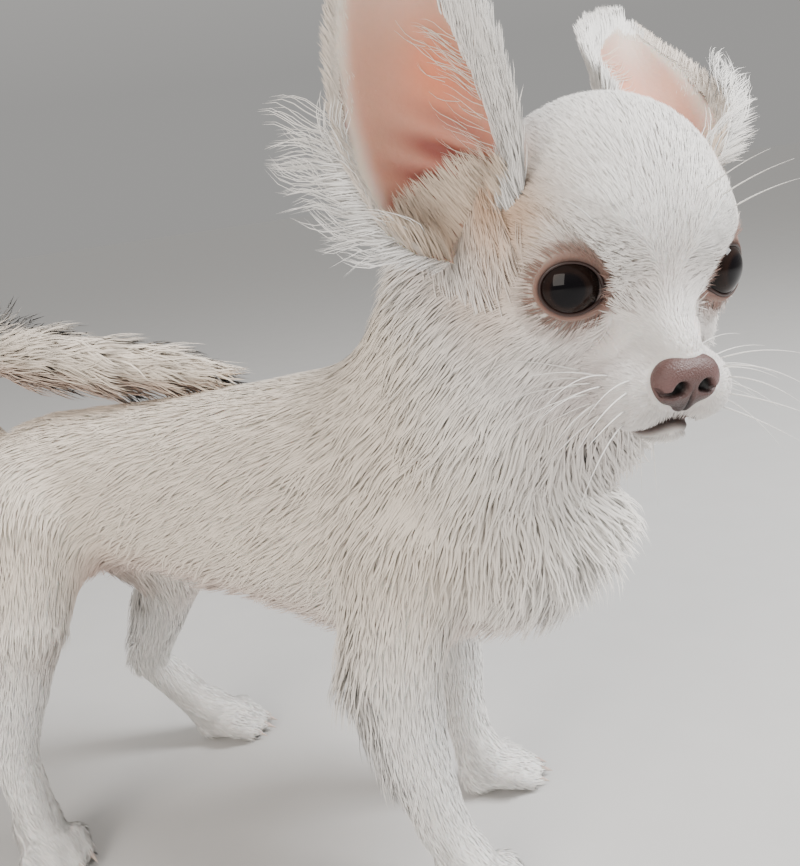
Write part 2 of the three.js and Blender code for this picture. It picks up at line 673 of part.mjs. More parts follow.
// Breeches, down the backs of the thighs
for (const side of [1, -1])
  for (let i = 0; i < 5; i++) {
    const node = side > 0 ? 'thigh_left' : 'thigh_right';
    const x = side > 0 ? -88 - 2 * i : -97 - 1.5 * i;
    const guess = V(x, side * (27 + (i % 2) * 7), 112 - 6.5 * i);
    growLock(node, body, guess, V(-0.55, side * 0.2, -1), LOCK.breeches);
  }
// Tail plume, along the tail on both sides and above
const tailLine = new THREE.CatmullRomCurve3(TAIL.map(([x, y, z]) => V(x, y, z)));
const tailNode = (p) => (p.z < 168 && p.x < -104 ? 'tail_root' : p.x < -66 ? 'tail_middle' : 'tail_end');
for (let i = 0; i < 9; i++)
  for (const turn of [-80, 0, 80]) {
    const s = 0.215 + 0.085 * i + 0.027 * Math.sign(turn);
    const at = tailLine.getPointAt(Math.min(0.97, s));
    const tangent = tailLine.getTangentAt(Math.min(0.97, s));
    const side = V(0, 1, 0);
    const outward = tangent.clone().cross(side).multiplyScalar(-1);
    if (outward.dot(V(-0.2, 0, 1)) < 0) outward.negate();
    const way = outward.multiplyScalar(Math.cos(deg(turn))).addScaledVector(side, Math.sin(deg(turn)));
    const root = at.clone().addScaledVector(way, 1.5);
    const [long, wide, lift] = LOCK.tail;
    const own = long * vary(0.15);
    const line = [0, 0.3, 0.68, 1].map((t) =>
      root.clone().addScaledVector(tangent, own * (0.6 * t + 0.35 * t * t)).addScaledVector(way, (5 + lift) * (1.5 * t - 0.5 * t * t)),
    );
    keepLock(tailNode(at), line, line.map(() => way.clone().addScaledVector(tangent, -0.8).normalize()), wide * vary(0.12));
  }
// Fringes along both edges of each ear
for (const [name, ear] of Object.entries(EARS)) {
  const path = new THREE.CatmullRomCurve3(ear.line.map((p) => V(...p)));
  for (const edge of [-1, 1])
    for (let i = 0; i < 4; i++) {
      const s = 0.24 + 0.19 * i;
      const along = path.getTangentAt(s);
      const out = V(...ear.front).addScaledVector(along, -V(...ear.front).dot(along)).normalize();
      const side = along.clone().cross(out);
      const slot = s * (EAR_HALF.length - 1);
      const k = Math.min(EAR_HALF.length - 2, Math.floor(slot));
      const mix = (list) => list[k] + (slot - k) * (list[k + 1] - list[k]);
      const bend = deg(mix(EAR_BEND));
      const R = mix(EAR_HALF) / Math.sin(Math.min(bend, Math.PI / 2));
      const rim = path.getPointAt(s).addScaledVector(out, R * (1 - Math.cos(bend))).addScaledVector(side, edge * R * Math.sin(bend));
      const outward = side.clone().multiplyScalar(edge * Math.cos(bend)).addScaledVector(out, Math.sin(bend));
      const normal = out.clone().multiplyScalar(Math.cos(bend)).addScaledVector(side, -edge * Math.sin(bend));
      rim.addScaledVector(outward, -3).addScaledVector(normal, 0.7);
      const own = LOCK.ear[0] * vary(0.2);
      const line = [0, 0.3, 0.68, 1].map((t) =>
        rim.clone().addScaledVector(outward, own * (0.75 * t - 0.2 * t * t)).addScaledVector(along, own * (0.35 * t + 0.45 * t * t)),
      );
      const world = line.map((p) => p.applyMatrix4(headFrame));
      keepLock(name, world, world.map(() => normal.clone().transformDirection(headFrame)), LOCK.ear[1]);
    }
}

// Each node takes its locks, cut clear of the other nodes and of the locks already placed.
const bodyRoom = meshed(grown(body, 0.7), [-120, -70, 0], [172, 60, 244], 7);
const regions = {
  neck: () => beyond('neck', half, 110, 150).subtract(beyond('head', -half, 120, 150)),
  torso: () =>
    Object.keys(LEGS).reduce(
      (room, leg) => room.subtract(legRoom(leg, -half)),
      block(V(0, 0, -40), V(0, 0, 1), 400, 600).subtract(beyond('neck', -half, 110, 150)),
    ),
  foreleg_left: () => legRoom('foreleg_left', half).intersect(block(V(0, 0, WRIST_Z + 1), V(0, 0, 1), 200, 600)),
  foreleg_right: () => legRoom('foreleg_right', half).intersect(block(V(0, 0, WRIST_Z + 1), V(0, 0, 1), 200, 600)),
  thigh_left: () => legRoom('hindleg_left', half).intersect(block(V(0, 0, KNEE_Z + 1), V(0, 0, 1), 200, 600)),
  thigh_right: () => legRoom('hindleg_right', half).intersect(block(V(0, 0, KNEE_Z + 1), V(0, 0, 1), 200, 600)),
};
const tailRoom = meshed(grown(tailForm, 0.6), [-136, -26, 120], [4, 26, 210], 5.2);
const tailRegions = {
  tail_root: () => tailRoom.subtract(cutAt(TAIL_CUTS[0], -half)).subtract(cutAt(TAIL_CUTS[1], -half)),
  tail_middle: () => tailRoom.intersect(cutAt(TAIL_CUTS[0], half)).subtract(cutAt(TAIL_CUTS[1], -half)),
  tail_end: () => tailRoom.intersect(cutAt(TAIL_CUTS[1], half)),
};
const placedRooms = [];
for (const [name, held] of locks) {
  let tufts = held.map((l) => l.real).reduce((a, b) => a.add(b));
  tufts = tufts.subtract(regions[name] ? bodyRoom.subtract(regions[name]()) : bodyRoom);
  if (tailRegions[name]) tufts = tufts.subtract(tailRoom.subtract(tailRegions[name]()));
  for (const room of placedRooms) tufts = tufts.subtract(room);
  nodes.set(name, nodes.get(name).add(tufts));
  placedRooms.push(held.map((l) => l.room).reduce((a, b) => a.add(b)));
}

// The part's own origin is the middle of its box on the floor.
const box = new THREE.Box3();
for (const made of nodes.values()) {
  const { min, max } = largest(made).boundingBox();
  box.expandByPoint(V(...min)).expandByPoint(V(...max));
}
const shift = [-(box.min.x + box.max.x) / 2, -(box.min.y + box.max.y) / 2, 0];

// The surface of a solid as a BufferGeometry.
function surface(made) {
  const m = made.getMesh();
  const g = new THREE.BufferGeometry();
  const v = new Float32Array(m.numVert * 3);
  for (let i = 0; i < m.numVert; i++) v.set(m.vertProperties.subarray(i * m.numProp, i * m.numProp + 3), i * 3);
  g.setAttribute('position', new THREE.BufferAttribute(v, 3));
  g.setIndex(new THREE.BufferAttribute(m.triVerts, 1));
  return g;
}

// The same solid with its points on a fine grid, so that slivers along the cuts close up.
function settled(made) {
  const grid = 0.004;
  const g = surface(made);
  const v = g.attributes.position;
  for (let i = 0; i < v.array.length; i++) v.array[i] = Math.round(v.array[i] / grid) * grid;
  const joined = mergeVertices(g, grid / 2);
  const old = joined.index.array;
  const kept = [];
  for (let i = 0; i < old.length; i += 3)
    if (old[i] !== old[i + 1] && old[i + 1] !== old[i + 2] && old[i] !== old[i + 2]) kept.push(old[i], old[i + 1], old[i + 2]);
  try {
    const again = new wasm.Manifold(
      new wasm.Mesh({ numProp: 3, vertProperties: joined.attributes.position.array, triVerts: new Uint32Array(kept) }),
    );
    return largest(again);
  } catch {
    return made;
  }
}

const group = new THREE.Group();
for (const [name, made] of nodes) {
  const g = surface(settled(largest(made).translate(shift)));
  const mesh = new THREE.Mesh(g, new THREE.MeshStandardMaterial({ color: COAT, roughness: 0.85, metalness: 0 }));
  mesh.name = name;
  group.add(mesh);
  console.log(name, g.index.count / 3);
}
export default group;
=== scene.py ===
import math
import bpy
import bmesh
import numpy as np
from mathutils import Matrix, Vector
from mathutils.kdtree import KDTree


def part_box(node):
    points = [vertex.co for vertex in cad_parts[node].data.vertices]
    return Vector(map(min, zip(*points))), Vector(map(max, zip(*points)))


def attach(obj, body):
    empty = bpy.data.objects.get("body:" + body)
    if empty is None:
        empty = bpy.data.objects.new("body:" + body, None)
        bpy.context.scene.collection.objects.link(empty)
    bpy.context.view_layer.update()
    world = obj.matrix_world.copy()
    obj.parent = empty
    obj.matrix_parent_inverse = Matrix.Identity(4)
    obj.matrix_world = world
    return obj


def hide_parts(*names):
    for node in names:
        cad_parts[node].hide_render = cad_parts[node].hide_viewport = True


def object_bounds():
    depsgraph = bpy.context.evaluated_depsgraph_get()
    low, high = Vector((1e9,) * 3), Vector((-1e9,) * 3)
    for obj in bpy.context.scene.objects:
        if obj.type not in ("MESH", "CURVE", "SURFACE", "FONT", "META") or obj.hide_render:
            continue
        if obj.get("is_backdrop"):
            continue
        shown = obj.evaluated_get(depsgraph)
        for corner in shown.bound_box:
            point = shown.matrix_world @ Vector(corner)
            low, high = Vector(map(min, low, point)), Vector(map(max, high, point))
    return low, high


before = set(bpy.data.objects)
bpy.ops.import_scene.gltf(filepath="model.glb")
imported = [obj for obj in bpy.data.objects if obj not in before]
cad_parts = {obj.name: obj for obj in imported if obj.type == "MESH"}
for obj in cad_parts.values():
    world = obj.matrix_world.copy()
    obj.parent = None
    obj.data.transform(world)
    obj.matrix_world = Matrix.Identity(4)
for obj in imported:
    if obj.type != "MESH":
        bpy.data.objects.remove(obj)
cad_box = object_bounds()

# The forms below are written in millimetres from a point on the floor under the trunk. The
# right eye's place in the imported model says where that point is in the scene.
HEAD_AT = np.array([129.0, -8.6, 203.5])


def turn(axis, degrees):
    return np.array(Matrix.Rotation(math.radians(degrees), 3, axis))


HEAD_TURN = turn("Z", -52) @ turn("Y", 12) @ turn("X", -4)
EYE_RADIUS = 9.3
EYE_OUT = math.radians(25)


def eye_way(side):
    return np.array([math.cos(EYE_OUT), side * math.sin(EYE_OUT), 0.06])


def eye_middle(side):
    cornea = np.array([29.0, side * 23.4, -6.9])
    return cornea - EYE_RADIUS * eye_way(side)


def from_head(points):
    return np.asarray(points, float) @ HEAD_TURN.T + HEAD_AT


low, high = (np.array(corner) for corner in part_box("eye_right"))
ORIGIN = (low + high) / 2 - from_head(eye_middle(-1)) / 1000
ORIGIN[2] = 0.0


def to_scene(points):
    return np.asarray(points, float) / 1000 + ORIGIN


def unit(vectors):
    vectors = np.asarray(vectors, float)
    return vectors / np.maximum(np.linalg.norm(vectors, axis=-1, keepdims=True), 1e-9)


# The camera stands to the dog's right and a little in front of it, as in the photograph. Its
# lens is given in pixels of the photograph, and its distance in millimetres.
CAMERA_DISTANCE = 304.33
FOCAL_PIXELS, PICTURE_HEIGHT, SENSOR_WIDTH = 953.07, 866, 36
azimuth, elevation, roll = (math.radians(angle) for angle in (22.08, 14.46, -8.83))
back = np.array([
    math.sin(azimuth) * math.cos(elevation),
    -math.cos(azimuth) * math.cos(elevation),
    math.sin(elevation),
])
aim = np.array([59.0, 4.04, 146.49])
eye_point = aim + CAMERA_DISTANCE * back
right = unit(np.cross(-back, [0, 0, 1]))
up = np.cross(right, -back)
picture_x = math.cos(roll) * right + math.sin(roll) * up
picture_y = -math.sin(roll) * right + math.cos(roll) * up
camera_data = bpy.data.cameras.new("camera")
camera_data.sensor_width = SENSOR_WIDTH
camera_data.lens = FOCAL_PIXELS / PICTURE_HEIGHT * SENSOR_WIDTH
camera_data.clip_start = 0.01
camera_data.clip_end = 20
camera = bpy.data.objects.new("camera", camera_data)
bpy.context.scene.collection.objects.link(camera)
placing = Matrix.Identity(4)
for i, column in enumerate((picture_x, picture_y, back, to_scene(eye_point))):
    for j in range(3):
        placing[j][i] = column[j]
camera.matrix_world = placing
bpy.context.scene.camera = camera

# The flesh under the coat: rounded forms that melt into each other, the same ones as in the
# solids. Each form also knows the way its hair lies, the hair's length and how far it rises.
forms = {}


def egg_distance(points, middle, radii):
    q = (points - np.array(middle)) / np.array(radii)
    near = np.linalg.norm(q, axis=1)
    return near * (near - 1) / np.maximum(np.linalg.norm(q / np.array(radii), axis=1), 1e-9)


def egg(name, middle, radii, **coat):
    """A rounded form with three half-widths."""
    middle, radii = np.array(middle, float), np.array(radii, float)

    def distance(points):
        return egg_distance(points, middle, radii)

    forms[name] = dict(distance=distance, balls=[(middle, radii)], **coat)


def egg_pair(name, middle, radii, lie, **coat):
    for side, word in ((1, "left"), (-1, "right")):
        mirror = np.array([1, side, 1])
        egg(name + "_" + word, mirror * middle, radii, lie=mirror * lie, **coat)


def limb(name, start, end, start_radius, end_radius, **coat):
    """A rounded form between two places, thicker or thinner at its end."""
    start, end = np.array(start, float), np.array(end, float)
    along = end - start

    def distance(points):
        t = np.clip((points - start) @ along / (along @ along), 0, 1)
        near = np.linalg.norm(points - start - t[:, None] * along, axis=1)
        return near - (start_radius + t * (end_radius - start_radius))

    coat.setdefault("lie", along)
    steps = 2 + int(np.linalg.norm(along) / (0.45 * min(start_radius, end_radius)))
    balls = []
    for t in np.linspace(0, 1, steps):
        balls.append((start + t * along, np.full(3, start_radius + t * (end_radius - start_radius))))
    forms[name] = dict(distance=distance, balls=balls, **coat)


def melt(k, *distances):
    """Join forms with a soft fillet about k wide."""
    total = distances[0]
    for other in distances[1:]:
        h = np.maximum(k - np.abs(total - other), 0) / k
        total = np.minimum(total, other) - h * h * k * 0.25
    return total


def hollow(k, total, *cutters):
    """Press forms out of another one, with edges softened over about k."""
    for cutter in cutters:
        h = np.maximum(k - np.abs(total + cutter), 0) / k
        total = np.maximum(total, -cutter) + h * h * k * 0.25
    return total


# The head's forms are in the head's own frame, with x to the nose and y to the left.
egg("skull", (0, 0, 0), (36, 33.5, 35), lie=(-1, 0, 0.1), hair=5, rise=16, depth=1.3)
egg("nape", (-13, 0, -7), (25, 27, 27), lie=(-0.7, 0, -0.7), hair=9, rise=20, depth=2)
egg_pair("cheek", (5, 17, -22), (20, 14, 16), (-0.8, 0.1, -0.6), hair=7, rise=18, depth=1.6)
egg_pair("brow", (23, 12, 4), (10, 11, 10), (-0.7, 0.5, 0.5), hair=3.4, rise=16, depth=0.9)
limb("throat", (-2, 0, -20), (-16, 0, -46), 24, 26, lie=(-0.5, 0, -1), hair=12, rise=20, depth=1.4)
limb("muzzle", (18, 0, -24), (34, 0, -28), 16, 11, lie=(-1, 0, 0), hair=2.2, rise=16, depth=0.6)
limb("bridge", (24, 0, -12), (40.5, 0, -21.5), 8.5, 6, lie=(-1, 0, 0.7), hair=1.8, rise=15, depth=0.5)
egg_pair("lip", (35.5, 8.5, -32.3), (10.5, 9.8, 9.4), (-0.8, 0.4, -0.5), hair=2, rise=18, depth=0.5)
limb("jaw", (8, 0, -34), (31, 0, -40), 13, 6.6, lie=(-1, 0, -0.4), hair=4, rise=20, depth=0.9)
egg("chin", (35.5, 0, -41.5), (7.5, 8, 4.8), lie=(-0.7, 0, -0.8), hair=2.5, rise=25, depth=0.6)
HEAD_FORMS = list(forms)
SKULL_FORMS = HEAD_FORMS[:HEAD_FORMS.index("throat")]
MOUTH_FORMS = HEAD_FORMS[HEAD_FORMS.index("muzzle"):]


def in_head(points):
    return (points - HEAD_AT) @ HEAD_TURN


def lips_and_jaw(d):
    return melt(5, d["muzzle"], d["bridge"], d["lip_left"], d["lip_right"]), melt(3, d["jaw"], d["chin"])


def head_distance(points):
    d = {name: forms[name]["distance"](points) for name in HEAD_FORMS}
    skull = melt(9, *(d[n] for n in SKULL_FORMS))
    head = melt(8, skull, d["throat"], melt(2, *lips_and_jaw(d)))
    orbits = [egg_distance(points, (35, side * 29.5, -9), (11, 11, 10)) for side in (1, -1)]
    return hollow(5, head, *orbits), d


# Neck, trunk, legs, paws and tail are in the dog's frame: x forward, y to its left and z up.
# A leg or the tail is a row of joints, each with its place and the flesh's radius there.
egg("withers", (50, 0, 126), (52, 34, 46), lie=(-1, 0, -0.55), hair=12, rise=17, depth=2.6)
egg("breast", (88, 0, 116), (36, 30, 32), lie=(-0.7, 0, -1), hair=15, rise=20, depth=3.5)
egg("barrel", (10, 0, 131), (56, 32, 37), lie=(-1, 0, -0.5), hair=11, rise=15, depth=2.2)
egg("loin", (-42, 0, 135), (52, 27, 29), lie=(-1, 0, -0.45), hair=11, rise=15, depth=2.2)
egg("rump", (-76, 0, 132), (31, 27, 28), lie=(-0.7, 0, -0.8), hair=12, rise=18, depth=2.6)
limb("neck", (78, -1, 140), (112, -8, 176), 33, 29, lie=(-0.75, 0, -1), hair=17, rise=22, depth=2.2)
limb("crest", (60, 0, 148), (88, -4, 190), 22, 22, lie=(-0.9, 0, -0.8), hair=15, rise=20, depth=3)
TRUNK_FORMS = ["withers", "breast", "barrel", "loin", "rump", "neck", "crest"]
LEGS = {
    "foreleg_right": [
        (68, -24, 118, 22), (61, -33, 86, 15.5), (63, -33, 54, 10.8),
        (67, -31, 29, 8.8), (72, -30, 17, 8.6),
    ],
    "foreleg_left": [
        (66, 24, 118, 22), (57, 33, 86, 15), (57, 30, 54, 10.2),
        (58, 27, 30, 8.4), (61, 26, 18, 8.4),
    ],
    "hindleg_right": [
        (-78, -19, 126, 27), (-75, -33, 97, 15), (-84, -36, 71, 10.6),
        (-93, -38, 45, 8.4), (-91, -38, 18, 8),
    ],
    "hindleg_left": [
        (-78, 19, 126, 27), (-58, 32, 92, 16.5), (-72, 34, 66, 11),
        (-86, 37, 43, 8.4), (-70, 44, 17, 8),
    ],
}
PAWS = {
    "foreleg_right": (74, -30, -6),
    "foreleg_left": (64, 27, 33),
    "hindleg_right": (-90, -38.5, -22),
    "hindleg_left": (-64, 47, 20),
}
TOES = (-8.2, -2.9, 2.9, 8.2)
LEG_HAIR = (11, 8, 6, 4.5)
for leg, joints in LEGS.items():
    for i in range(4):
        a, b = joints[i], joints[i + 1]
        coat = dict(hair=LEG_HAIR[i], rise=16, depth=(2.2, 1.6, 1.2, 1)[i])
        limb(leg + str(i), a[:3], b[:3], a[3], b[3], **coat)


def toe_reach(y):
    return 17 - 0.055 * y * y


def paw_place(leg, local):
    x, y, heading = PAWS[leg]
    return np.asarray(local, float) @ turn("Z", heading).T + np.array([x, y, 0])


for leg in PAWS:
    forward = turn("Z", PAWS[leg][2]) @ np.array([1, 0, -0.25])
    coat = dict(lie=forward, hair=4.6, rise=18, depth=0.8)
    limb(leg + "palm", paw_place(leg, (-2, 0, 14)), paw_place(leg, (6, 0, 9)), 8.4, 7, **coat)
    limb(leg + "sole", paw_place(leg, (-4, 0, 7)), paw_place(leg, (5, 0, 7)), 7.6, 7.6, **coat)
    for i, y in enumerate(TOES):
        bend = paw_place(leg, (toe_reach(y) - 6, y, 8))
        limb(leg + "foot" + str(i), paw_place(leg, (3, y * 0.7, 8)), bend, 5.2, 4.9, **coat)
        limb(leg + "toe" + str(i), bend, paw_place(leg, (toe_reach(y), y, 4.2)), 4.7, 4.1, **coat)
TAIL = [
    (-96, 0, 144, 9), (-111, 0, 158, 8), (-113, 1, 174, 7.5), (-99, 2, 184, 7),
    (-78, 3, 183, 7), (-54, 4, 179, 6.5), (-31, 5, 175.5, 5.2), (-12, 5, 172.5, 3),
]
for i in range(len(TAIL) - 1):
    a, b = TAIL[i], TAIL[i + 1]
    limb("tail" + str(i), a[:3], b[:3], a[3], b[3], hair=24, rise=27, depth=1.6)


def flesh(points, want_forms=False):
    """Distance to the flesh's surface, negative inside, and each form's own distance."""
    head, own = head_distance(in_head(points))
    for name, one in forms.items():
        if name not in own:
            own[name] = one["distance"](points)
    trunk = melt(14, *(own[n] for n in TRUNK_FORMS))
    body = melt(12, trunk, head)
    for leg in LEGS:
        bones = melt(2, *(own[leg + str(i)] for i in range(4)))
        pads = [own[leg + "sole"], own[leg + "palm"]]
        toes = [melt(2, own[leg + "foot" + str(i)], own[leg + "toe" + str(i)]) for i in range(4)]
        body = melt(10, body, melt(5, bones, melt(2.4, melt(4, *pads), *toes)))
    tail = melt(2, *(own["tail" + str(i)] for i in range(7)))
    body = melt(5, body, tail)
    if want_forms:
        return body, own
    return body


COAT_FORMS = list(forms)


def coat_values(points):
    """The coat at each point: the way it lies, hair length, rise in degrees and depth."""
    body, own = flesh(points, True)
    near = np.stack([own[n] for n in COAT_FORMS])
    weight = np.exp(-(near - near.min(0)) / 5)
    weight /= weight.sum(0)
    lies = []
    for name in COAT_FORMS:
        lie = unit(forms[name]["lie"])
        lies.append(HEAD_TURN @ lie if name in HEAD_FORMS else lie)
    lie = weight.T @ np.array(lies)
    hair = weight.T @ np.array([forms[n]["hair"] for n in COAT_FORMS])
    rise = weight.T @ np.array([forms[n]["rise"] for n in COAT_FORMS])
    depth = weight.T @ np.array([forms[n]["depth"] for n in COAT_FORMS])
    return body, lie, hair, rise, depth


# The skin: one closed hide over head, neck, trunk, legs, paws and tail. It lies inside the
# flesh's outline by the coat's depth, is drawn back behind each eyeball inside the lids' edge,
# and has the closed mouth's crease pressed into it.
LID_THICK = 0.9
LID_AZIMUTH, LID_RISE = math.radians(22), math.radians(5)


def skin_distance(points):
    """The skin lies inside the flesh's outline by the coat's depth and bulges over the eyes."""
    body, _, _, _, depth = coat_values(points)
    surface = body + depth
    local = in_head(points)
    for side in (1, -1):
        ball = np.linalg.norm(local - eye_middle(side), axis=1) - EYE_RADIUS - LID_THICK
        surface = melt(3.5, surface, ball)
    return surface


def lid_frame(side):
    out = np.array([math.cos(LID_AZIMUTH), side * math.sin(LID_AZIMUTH), math.tan(LID_RISE)])
    out = unit(out)
    nasal = unit(np.cross([0, 0, 1], out)) * -side
    upright = np.cross(out, nasal) * -side
    return out, nasal, upright


def lid_edge(around):
    """How far from the eye's axis the lids' edge lies; around is 0 at the corner by the nose."""
    oval = 1 / np.sqrt((np.cos(around) / 51) ** 2 + (np.sin(around) / 41) ** 2)
    corner = np.exp(-((np.angle(np.exp(1j * (around + 0.22)))) / 0.32) ** 2)
    return np.radians(oval + 8 * corner)


def lid_angles(local, side):
    out, nasal, upright = lid_frame(side)
    q = local - eye_middle(side)
    far = np.linalg.norm(q, axis=1)
    off = np.arccos(np.clip(q @ out / np.maximum(far, 1e-6), -1, 1))
    return far, off, lid_edge(np.arctan2(q @ upright, q @ nasal))


def portion(value):
    return np.clip(value, 0, 1)


def soft_step(value):
    value = portion(value)
    return value * value * (3 - 2 * value)


def open_lids(points):
    """Sinks the skin inside each lid's edge behind the eyeball, straight towards its middle."""
    local = in_head(points)
    for side in (1, -1):
        far, off, edge = lid_angles(local, side)
        beside = (off - edge) * EYE_RADIUS
        limit = EYE_RADIUS + LID_THICK + 1.1 * np.clip(beside, 0, 30)
        near = (far < EYE_RADIUS + 12) & (off < math.radians(110))
        lowered = np.where(near, np.minimum(far, limit), far)
        inside = soft_step(0.5 - beside / 0.9) * near
        crease = np.exp(-((beside - 2.6) / 0.55) ** 2) * (far < EYE_RADIUS + 4)
        wanted = lowered + (EYE_RADIUS - 1.1 - lowered) * inside - 0.45 * crease
        middle = eye_middle(side)
        local = middle + (local - middle) * (wanted / np.maximum(far, 1e-6))[:, None]
    return from_head(local)


def mouth_distance(local):
    """The lips close where the upper lips' forms meet the jaw's, in front of the corners."""
    x, y, z = local.T
    upper, lower = lips_and_jaw({name: forms[name]["distance"](local) for name in MOUTH_FORMS})
    away = np.clip(19 - x, 0, 50) + np.clip(z + 33, 0, 50) + np.clip(-60 - z, 0, 50)
    return np.abs(upper - lower) + away + np.clip(np.abs(y) - 22, 0, 50)


def slope(field, points, step=0.25):
    out = []
    for axis in range(3):
        d = np.zeros(3)
        d[axis] = step
        out.append(field(points + d) - field(points - d))
    return np.stack(out, 1) / (2 * step)


def settle(field, points, steps):
    for _ in range(steps):
        g = slope(field, points)
        size = np.maximum((g * g).sum(1), 0.15)
        points = points - g * np.clip(field(points) / size, -3, 3)[:, None]
    return points


def link(mesh, name):
    piece = bpy.data.objects.new(name, mesh)
    bpy.context.scene.collection.objects.link(piece)
    return piece


def smooth_faces(made):
    for face in made.faces:
        face.smooth = True


def still_piece(made, name):
    """A smooth piece from a bmesh, fixed to the animal's one body."""
    smooth_faces(made)
    mesh = bpy.data.meshes.new(name)
    made.to_mesh(mesh)
    made.free()
    piece = link(mesh, name)
    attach(piece, "root")
    return piece


SKIN_CELL = 0.00175
SKIN_NODES = ["head", "muzzle", "neck", "torso", "tail_root", "tail_middle", "tail_end"]
for leg in LEGS:
    SKIN_NODES.append(leg.replace("leg", "paw"))
for side in ("left", "right"):
    SKIN_NODES += ["foreleg_" + side, "thigh_" + side, "shank_" + side]
flesh_mesh = bmesh.new()
head_matrix = Matrix([list(row) for row in HEAD_TURN]).to_4x4()


def add_ball(middle, radii, turned):
    place = Matrix.Translation(to_scene(middle)) @ turned @ Matrix.Diagonal((*(radii / 1000), 1))
    fineness = 3 if max(radii) > 12 else 2
    bmesh.ops.create_icosphere(flesh_mesh, subdivisions=fineness, radius=1, matrix=place)


for name, form in forms.items():
    for middle, radii in form["balls"]:
        if name in HEAD_FORMS:
            add_ball(from_head(middle), radii, head_matrix)
        else:
            add_ball(middle, radii, Matrix.Identity(4))
for side in (1, -1):
    add_ball(from_head(eye_middle(side)), np.full(3, EYE_RADIUS + LID_THICK), Matrix.Identity(4))
base = bpy.data.meshes.new("skin")
flesh_mesh.to_mesh(base)
flesh_mesh.free()
skin = link(base, "skin")
remesh = skin.modifiers.new("remesh", "REMESH")
remesh.mode = "VOXEL"
remesh.voxel_size = SKIN_CELL
bpy.context.view_layer.update()
evaluated = skin.evaluated_get(bpy.context.evaluated_depsgraph_get())
skin_mesh = bmesh.new()
skin_mesh.from_mesh(evaluated.to_mesh())
skin.modifiers.clear()


def positions(made):
    return np.array([v.co for v in made.verts])


def move_to(made, points):
    for v, p in zip(made.verts, points):
        v.co = p


def relax(made):
    axes = dict(use_axis_x=True, use_axis_y=True, use_axis_z=True)
    bmesh.ops.smooth_vert(made, verts=made.verts, factor=0.5, **axes)


for _ in range(4):
    relax(skin_mesh)
places = settle(skin_distance, (positions(skin_mesh) - ORIGIN) * 1000, 6)
move_to(skin_mesh, to_scene(places))
relax(skin_mesh)
for reach in ((16, 20), (12.5, 17)):
    places = (positions(skin_mesh) - ORIGIN) * 1000
    near = np.linalg.norm(places - from_head([40, 0, -35]), axis=1) < reach[1]
    for side in (1, -1):
        near |= np.linalg.norm(places - from_head(eye_middle(side)), axis=1) < reach[0]
    chosen = set()
    for v, keep in zip(skin_mesh.verts, near):
        if keep:
            chosen.update(v.link_edges)
    bmesh.ops.subdivide_edges(skin_mesh, edges=list(chosen), cuts=1, use_grid_fill=True)
bmesh.ops.triangulate(skin_mesh, faces=[f for f in skin_mesh.faces if len(f.verts) > 4])
places = settle(skin_distance, (positions(skin_mesh) - ORIGIN) * 1000, 3)
near = np.linalg.norm(in_head(places) - [35, 0, -38], axis=1) < 30
groove = np.exp(-(mouth_distance(in_head(places[near])) / 0.9) ** 2) * 1.3
places[near] -= unit(slope(skin_distance, places[near])) * groove[:, None]
places = open_lids(places)
move_to(skin_mesh, to_scene(places))
bmesh.ops.recalc_face_normals(skin_mesh, faces=skin_mesh.faces)
smooth_faces(skin_mesh)
bmesh.ops.triangulate(skin_mesh, faces=skin_mesh.faces)
skin_mesh.to_mesh(base)
skin_mesh.free()
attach(skin, "root")
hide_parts(*SKIN_NODES)


def in_order(mesh):
    """Vertex places in millimetres, triangles, vertex normals."""
    points = np.zeros(len(mesh.vertices) * 3)
    mesh.vertices.foreach_get("co", points)
    faces = np.zeros(len(mesh.polygons) * 3, int)
    mesh.polygons.foreach_get("vertices", faces)
    normals = np.zeros(len(mesh.vertices) * 3)
    mesh.vertex_normals.foreach_get("vector", normals)
    return (points.reshape(-1, 3) - ORIGIN) * 1000, faces.reshape(-1, 3), normals.reshape(-1, 3)


skin_points, skin_faces, skin_normals = in_order(base)
_, skin_lie, skin_hair, skin_rise, _ = coat_values(skin_points)

# Hair is longest down the backs of the upper legs, on the breeches and along the belly.
x, y, z = skin_points.T
on_leg = portion((np.abs(y) - 12) / 8) * portion((z - 34) / 20) * portion((116 - z) / 10)
behind = portion(-skin_normals[:, 0] * 1.4 - 0.25)
below = portion(-skin_normals[:, 2] * 1.4 - 0.3) * portion((z - 78) / 10) * portion((70 - x) / 20)
skin_hair = skin_hair + 8 * on_leg * behind + 5 * below * (1 - on_leg)
skin_rise = skin_rise + 14 * on_leg * behind + 8 * below * (1 - on_leg)
skin_local = in_head(skin_points)
throat = portion(skin_normals[:, 0] * 1.3 - 0.1) * portion((z - 112) / 14) * portion((x - 84) / 14)
throat = throat * portion((22 - skin_local[:, 0]) / 10) * portion((180 - z) / 8)
skin_hair = skin_hair + 13 * throat
skin_rise = skin_rise + 34 * throat
skin_lie = skin_lie + throat[:, None] * np.array([0.8, 0.35, 0])

# The coat's colours are one set for skin and hair: white and cream, tan between ear and eye,
# warm on the back, pink where the belly and thighs are thinly covered, with painted shade on the lips'
# sides and close round the lids.
WHITE = np.array([0.9, 0.88, 0.845])
CREAM = np.array([0.82, 0.72, 0.6])
TAN = np.array([0.64, 0.42, 0.27])
PINK = np.array([0.72, 0.44, 0.36])
BROWN = np.array([0.3, 0.16, 0.12])
LIP_SHADE = np.array([0.55, 0.45, 0.44])
RIM = np.array([0.05, 0.025, 0.02])
LIP_LINE = np.array([0.07, 0.045, 0.04])


def colour_mixer(colour):
    """Draws the colour of each point towards another by a share."""

    def colour_towards(target, amount):
        colour[:] += (target - colour) * portion(amount)[:, None]

    return colour_towards


